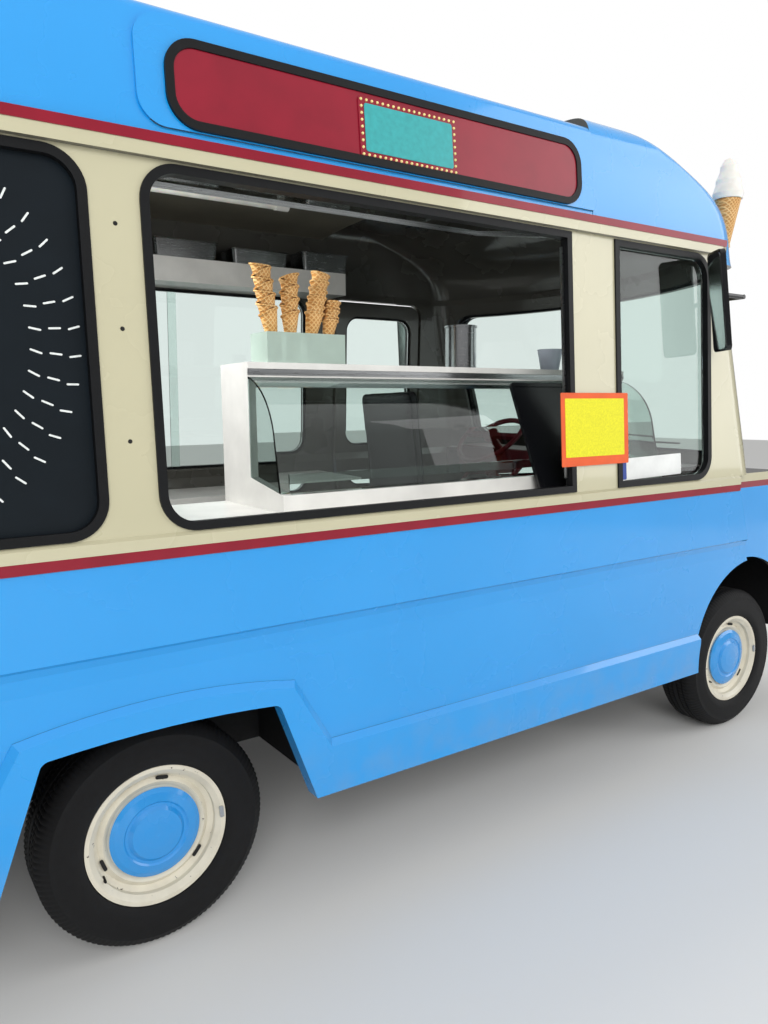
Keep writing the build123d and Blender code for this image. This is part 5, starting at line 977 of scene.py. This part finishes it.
def cup():
    """A pale cup with a rounded rim."""
    profile = [(0, 0.0003), (0.034, 0.0003), (0.037, 0.004), (0.050, 0.080), (0.0515, 0.084), (0.0495, 0.086)]
    profile += [(0.0475, 0.083), (0.0345, 0.006), (0, 0.006)]
    piece("cup", [lathe(profile, 40)], "pale", shift(*CUP_XY, CABINET_TOP))


pans()
container()
cup()

# Mirror glass, set in the back of each turned housing
MIRROR_PLACE = (FRONT_AXLE - 0.422, 1.040, 1.896)
MIRROR_TURN = math.radians(35)
MIRROR_LEAN = 0.2
MIRROR_T = 0.020
MIRROR_GLASS = (0.114, 0.370)

for side, label in SIDES:
    along = Vector((math.sin(MIRROR_TURN), -side * math.cos(MIRROR_TURN), 0))
    out = along.cross(Vector((0, -side * MIRROR_LEAN, 1))).normalized() * side
    origin = Vector((MIRROR_PLACE[0], side * MIRROR_PLACE[1], MIRROR_PLACE[2])) + out * (MIRROR_T + 0.0003)
    silver = slab(*MIRROR_GLASS, 0.022, 0.0025)
    piece(f"mirror_glass_{label}", [silver], "mirror", turned(along, out.cross(along), out, origin))

# Driver's seat: a cushion and a backrest, blown up a little as padding is, with welts round their seams
PAD_VOXEL = 0.008
PAD_FRAMES = 18
PAD_PRESSURE = 4.0
PAD_CAP = 0.008
PAD_INSET = 0.009
CHANNEL_DEPTH = 0.005
CHANNEL_HALF = 0.007
WELT_R = 0.0045
WELT_STEPS = 120
WELT_LEVELS = (0.30, -0.34)  # heights as shares of the thickness
CHANNEL_REACH = 0.012
PAD_CROWN = 0.006
PAD_CORNER = 0.040
PAD_LEVELS = ((0.0, 0.012), (0.14, 0.002), (0.5, 0.0), (0.86, 0.002), (1.0, 0.014))  # (height, shrink)
CUSHION_T = 0.110
CUSHION_START = 0.140  # both from the back of the seat's box
BACK_MIDDLE = 0.083
BACK_T = 0.072
BACK_RUN = 0.065  # how far the backrest's top stands behind its foot
CUSHION_CHANNELS = (-0.09, 0.0, 0.09)
BACK_CHANNELS = (-0.20, -0.07, 0.06, 0.19)


def tube(points, radius, sides=10, closed=True):
    """A tube of round section along points."""
    vertices, faces = [], []
    count = len(points)
    for n, point in enumerate(points):
        ahead = points[(n + 1) % count] if closed or n < count - 1 else point
        behind = points[n - 1] if closed or n else point
        way = (ahead - behind).normalized()
        across = way.orthogonal() if abs(way.z) > 0.9 else way.cross(Vector((0, 0, 1)))
        across = across.normalized()
        up = across.cross(way)
        for step in range(sides):
            angle = 2 * math.pi * step / sides
            vertices.append(tuple(point + (across * math.cos(angle) + up * math.sin(angle)) * radius))
    for n in range(count if closed else count - 1):
        faces += band(n * sides, (n + 1) % count * sides, sides)
    if not closed:
        faces += [tuple(range(sides)), tuple(reversed(range((count - 1) * sides, count * sides)))]
    return vertices, faces


def ray_tree(mesh):
    """What a ray is cast on to find a mesh's surface."""
    return BVHTree.FromPolygons([v.co for v in mesh.vertices], [p.vertices for p in mesh.polygons])


def baked(obj):
    """The object's mesh as its modifiers leave it; the modifiers come off."""
    graph = bpy.context.evaluated_depsgraph_get()
    mesh = bpy.data.meshes.new_from_object(obj.evaluated_get(graph))
    obj.modifiers.clear()
    return mesh


def swollen(mesh):
    """The mesh remeshed and puffed up by cloth pressure, no point by more than the cap."""
    obj = bpy.data.objects.new("pad", mesh)
    bpy.context.scene.collection.objects.link(obj)
    remesh = obj.modifiers.new("Remesh", "REMESH")
    remesh.mode = "VOXEL"
    remesh.voxel_size = PAD_VOXEL
    fine = obj.data = baked(obj)
    rest = [v.co.copy() for v in fine.vertices]
    cloth = obj.modifiers.new("Cloth", "CLOTH")
    cloth.settings.use_pressure = True
    cloth.settings.uniform_pressure_force = PAD_PRESSURE
    cloth.settings.effector_weights.gravity = 0
    cloth.point_cache.frame_start = 1
    cloth.point_cache.frame_end = PAD_FRAMES
    for number in range(1, PAD_FRAMES + 1):
        bpy.context.scene.frame_set(number)
    fine = baked(obj)
    for vertex, start in zip(fine.vertices, rest):
        move = vertex.co - start
        if move.length > PAD_CAP:
            vertex.co = start + move.normalized() * PAD_CAP
    bpy.context.scene.frame_set(1)
    bpy.data.objects.remove(obj)
    return fine


def arched(value, span):
    """1 in the middle of a span, falling to 0 at its ends."""
    return max(0.0, math.cos(math.pi * value / span))


def pad(name, size, place, channels):
    """One pad: local x is its depth, y its width and z its thickness, with channels sewn across its top."""
    depth, width, thickness = (value - 2 * PAD_INSET for value in size)
    rings = []
    for level, shrink in PAD_LEVELS:
        outline = round_rectangle(depth - 2 * shrink, width - 2 * shrink, PAD_CORNER - shrink)
        rings.append((outline, thickness * (level - 0.5)))
    mesh = swollen(joined(name, [stacked(rings)]))
    for vertex in mesh.vertices:
        x, y, z = vertex.co
        if z > thickness * 0.25:
            crown = PAD_CROWN * arched(x, size[0]) * arched(y, size[1])
            edge = max(0.0, min(1.0, (width / 2 + CHANNEL_REACH - abs(y)) / PAD_CORNER))
            sewn = sum(math.exp(-(((x - line) / CHANNEL_HALF) ** 2)) for line in channels)
            vertex.co.z = min(z + crown - CHANNEL_DEPTH * sewn * edge, size[2] / 2)
    tree = ray_tree(mesh)
    welts = []
    for level in WELT_LEVELS:
        line = []
        for step in range(WELT_STEPS):
            angle = 2 * math.pi * step / WELT_STEPS
            way = Vector((math.cos(angle), math.sin(angle), 0))
            line.append(tree.ray_cast(Vector((0, 0, level * thickness)) + way, -way)[0])
        welts.append(tube(line, WELT_R))
    obj = shown(name, mesh, "vinyl", place)
    subdivision = obj.modifiers.new("Subdivision", "SUBSURF")
    subdivision.levels = subdivision.render_levels = 1
    piece(f"{name}_welts", welts, "welt", place)
    return obj


def seat():
    """The cushion and the backrest, in place of the plain seat."""
    low, high = (Vector(corner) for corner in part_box("driver_seat"))
    width, tall = high.y - low.y, high.z - low.z
    centre_y = (low.y + high.y) / 2
    start = low.x + CUSHION_START
    place = shift((start + high.x) / 2, centre_y, low.z + CUSHION_T / 2)
    cushion = pad("seat_cushion", (high.x - start, width, CUSHION_T), place, CUSHION_CHANNELS)
    lean = math.atan2(BACK_RUN, tall)
    size = (tall / math.cos(lean) - 0.004, width, BACK_T)
    turn = Matrix.Rotation(math.pi / 2 - lean, 4, "Y") @ Matrix.Rotation(math.pi, 4, "Z")
    place = shift(low.x + BACK_MIDDLE, centre_y, low.z + tall / 2) @ turn
    back = pad("seat_back", size, place, BACK_CHANNELS)
    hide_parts("driver_seat")
    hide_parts("driver_seat")


seat()


def place_on(node, x=None, y=None, z=None, out=0.0):
    """A point met on a node from the front, or from the left if x is given, and the way out there."""
    start, way = ((x, 3, z), (0, -1, 0)) if x is not None else ((4, y, z), (-1, 0, 0))
    hit, normal = ray_tree(NODES[node].data).ray_cast(Vector(start), Vector(way))[:2]
    return hit + normal * out, normal


def standing(point, out):
    """A place at a point whose local z runs out."""
    return Matrix.Translation(point) @ Vector((0, 0, 1)).rotation_difference(out).to_matrix().to_4x4()


# Windscreen wipers: a pivot, an arm and a blade on each half
WIPERS = ((0.330, 0.470, 0.060), (-0.330, -0.060, -0.470))  # (pivot, blade's two ends) across the truck
PIVOT_Z = 1.226
BLADE_Z = 1.300
BLADE_STEPS = 12
SPINE_OUT = 0.0125  # off the glass
LIP_OUT = 0.0050
ARM_R = 0.0042
SPINE_R = 0.0032
LIP_R = 0.0045


def wiper(number, pivot_y, start_y, end_y):
    """One wiper, its blade lying along the glass."""
    pivot, out = place_on("windscreen_surround", y=pivot_y, z=PIVOT_Z)
    boss = lathe([(0, 0), (0.013, 0), (0.013, 0.010), (0.008, 0.018), (0, 0.020)], 20)
    spine, lip = [], []
    for step in range(BLADE_STEPS + 1):
        y = start_y + (end_y - start_y) * step / BLADE_STEPS
        spine.append(place_on("windscreen", y=y, z=BLADE_Z, out=SPINE_OUT)[0])
        lip.append(place_on("windscreen", y=y, z=BLADE_Z, out=LIP_OUT)[0])
    foot, tip = pivot + out * 0.014, spine[BLADE_STEPS // 2]
    arm = [foot, (foot + tip) / 2 + out * 0.006, tip]
    lines = [tube(arm, ARM_R, 8, False), tube(spine, SPINE_R, 8, False), tube(lip, LIP_R, 6, False)]
    piece(f"wiper_{number}", [moved(boss, standing(pivot, out))] + lines, "rubber")


for number, row in enumerate(WIPERS, 1):
    wiper(number, *row)


# Fuel cap, blank plates and the door's handle
FUEL_CAP_Z = 0.700
NUMBER_PLATE = (0.520, 0.112)
PLATE_RIM = 0.014
HANDLE_X = REAR_AXLE + 1.760
HANDLE_Z = 1.060


def fuel_cap():
    """A round cap on the left side, over the tank."""
    place = standing(*place_on("lower_side_left", x=middle("fuel_tank").x, z=FUEL_CAP_Z))
    profile = [(0, 0.0002), (0.052, 0.0002), (0.052, 0.004), (0.044, 0.006)]
    profile += [(0.043, 0.014), (0.039, 0.018), (0, 0.018)]
    piece("fuel_cap", [moved(lathe(profile, 40), place)], "chrome")
    grip = box((-0.030, -0.006, 0.018), (0.030, 0.006, 0.026))
    piece("fuel_cap_grip", [moved(grip, place)], "black")


def number_plate(name, place):
    """A blank plate in a black holder."""
    width, height = NUMBER_PLATE
    holder = slab(width + PLATE_RIM, height + PLATE_RIM, 0.010, 0.004)
    face = slab(width, height, 0.007, 0.0055)
    piece(f"{name}_holder", [holder], "black", place)
    piece(name, [face], "plate_white", place)


def door_handle():
    """A bar on two feet."""
    bar = box((-0.060, -0.010, 0.012), (0.060, 0.010, 0.024))
    feet = [box((x - 0.008, -0.008, 0.0), (x + 0.008, 0.008, 0.014)) for x in (-0.045, 0.045)]
    foot = place_on("driver_door", x=HANDLE_X, z=HANDLE_Z)[0]
    place = turned(Vector((-1, 0, 0)), Vector((0, 0, 1)), Vector((0, 1, 0)), foot)
    piece("door_handle", [bar] + feet, "chrome", place, "driver_door")


fuel_cap()
bumper_low, bumper_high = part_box("bumpers")
plate_z = middle("bumpers").z
number_plate("front_plate", across_place(bumper_high[0], z=plate_z))
number_plate("rear_plate", across_place(bumper_low[0], z=plate_z, way=-1))
door_handle()


# Scene: floor, sky, lights and camera
FLOOR_HALF = 30.0


def stage():
    """A wide pale floor."""
    corners = [(x * FLOOR_HALF, y * FLOOR_HALF, 0) for x, y in ((-1, -1), (1, -1), (1, 1), (-1, 1))]
    mesh = joined("stage_floor", [(corners, [(0, 1, 2, 3)])])
    floor = bpy.data.objects.new("stage_floor", mesh)
    bpy.context.scene.collection.objects.link(floor)
    mesh.materials.append(Shader("stage", srgb(228, 228, 226), 0.9).material)


SKY_LIGHT = 0.60
GLOSS_LOW = 0.12  # the sky's strength in gloss, at the horizon and from the height on
GLOSS_HIGH = 0.95
GLOSS_Z = 0.6


def world():
    """An even sky: soft light, darker at the horizon in gloss, and white behind the truck."""
    sky = bpy.data.worlds.new("sky")
    bpy.context.scene.world = sky
    nodes = Nodes(sky)
    path = nodes.add("ShaderNodeLightPath").outputs
    seen = nodes.math("MAXIMUM", path["Is Camera Ray"], path["Is Transmission Ray"])
    way = nodes.add("ShaderNodeTexCoord").outputs["Generated"]
    height = nodes.add("ShaderNodeSeparateXYZ", way).outputs["Z"]
    gloss = nodes.steps(height, 0.0, GLOSS_Z, GLOSS_LOW, GLOSS_HIGH)
    unseen = nodes.steps(path["Is Glossy Ray"], 0.0, 1.0, SKY_LIGHT, gloss)
    background = nodes.tree.nodes["Background"]
    nodes.put(background.inputs["Strength"], nodes.steps(seen, 0.0, 1.0, unseen, 1.0))
    background.inputs["Color"].default_value = (1, 1, 1, 1)


def lamp(name, power, size, place, aim, gloss=False):
    """A square area light aimed at a point, seen in gloss or not."""
    light = bpy.data.lights.new(name, "AREA")
    light.energy = power
    light.size = size
    obj = bpy.data.objects.new(name, light)
    bpy.context.scene.collection.objects.link(obj)
    obj.location = place
    obj.rotation_euler = (Vector(aim) - Vector(place)).to_track_quat("-Z", "Y").to_euler()
    obj.visible_camera = False
    obj.visible_transmission = False
    obj.visible_glossy = gloss


CAMERA_PLACE = Vector((REAR_AXLE - 0.6386, -2.9027, 1.4919))
CAMERA_YAW = 0.6023  # turned from +Y towards +X
CAMERA_PITCH = -0.131
CAMERA_ROLL = 0.011
FOCAL_PIXELS = 787.33
PHOTO_HEIGHT = 1024


def camera():
    """The photograph's camera."""
    data = bpy.data.cameras.new("camera")
    data.sensor_width = 36.0
    data.lens = FOCAL_PIXELS * data.sensor_width / PHOTO_HEIGHT
    data.clip_start = 0.05
    obj = bpy.data.objects.new("camera", data)
    bpy.context.scene.collection.objects.link(obj)
    yaw = Matrix.Rotation(-CAMERA_YAW, 4, "Z")
    pitch = Matrix.Rotation(math.pi / 2 + CAMERA_PITCH, 4, "X")
    roll = Matrix.Rotation(-CAMERA_ROLL, 4, "Z")
    obj.matrix_world = Matrix.Translation(CAMERA_PLACE) @ yaw @ pitch @ roll
    bpy.context.scene.camera = obj


stage()
world()
lamp("key", 430, 5.0, (-3.8, -8.0, 4.6), (0, 0, 1.3))
lamp("fill", 160, 5.0, (6.5, -5.0, 3.5), (0.5, 0, 1.2), gloss=True)
lamp("back", 220, 5.0, (1.0, 7.0, 6.0), (0, 0, 1.2))
lamp("inside", 14, 0.4, (REAR_AXLE - 0.10, -0.25, 2.18), (REAR_AXLE + 0.80, -0.30, 1.30))
camera()
bpy.context.scene.view_settings.view_transform = "Standard"
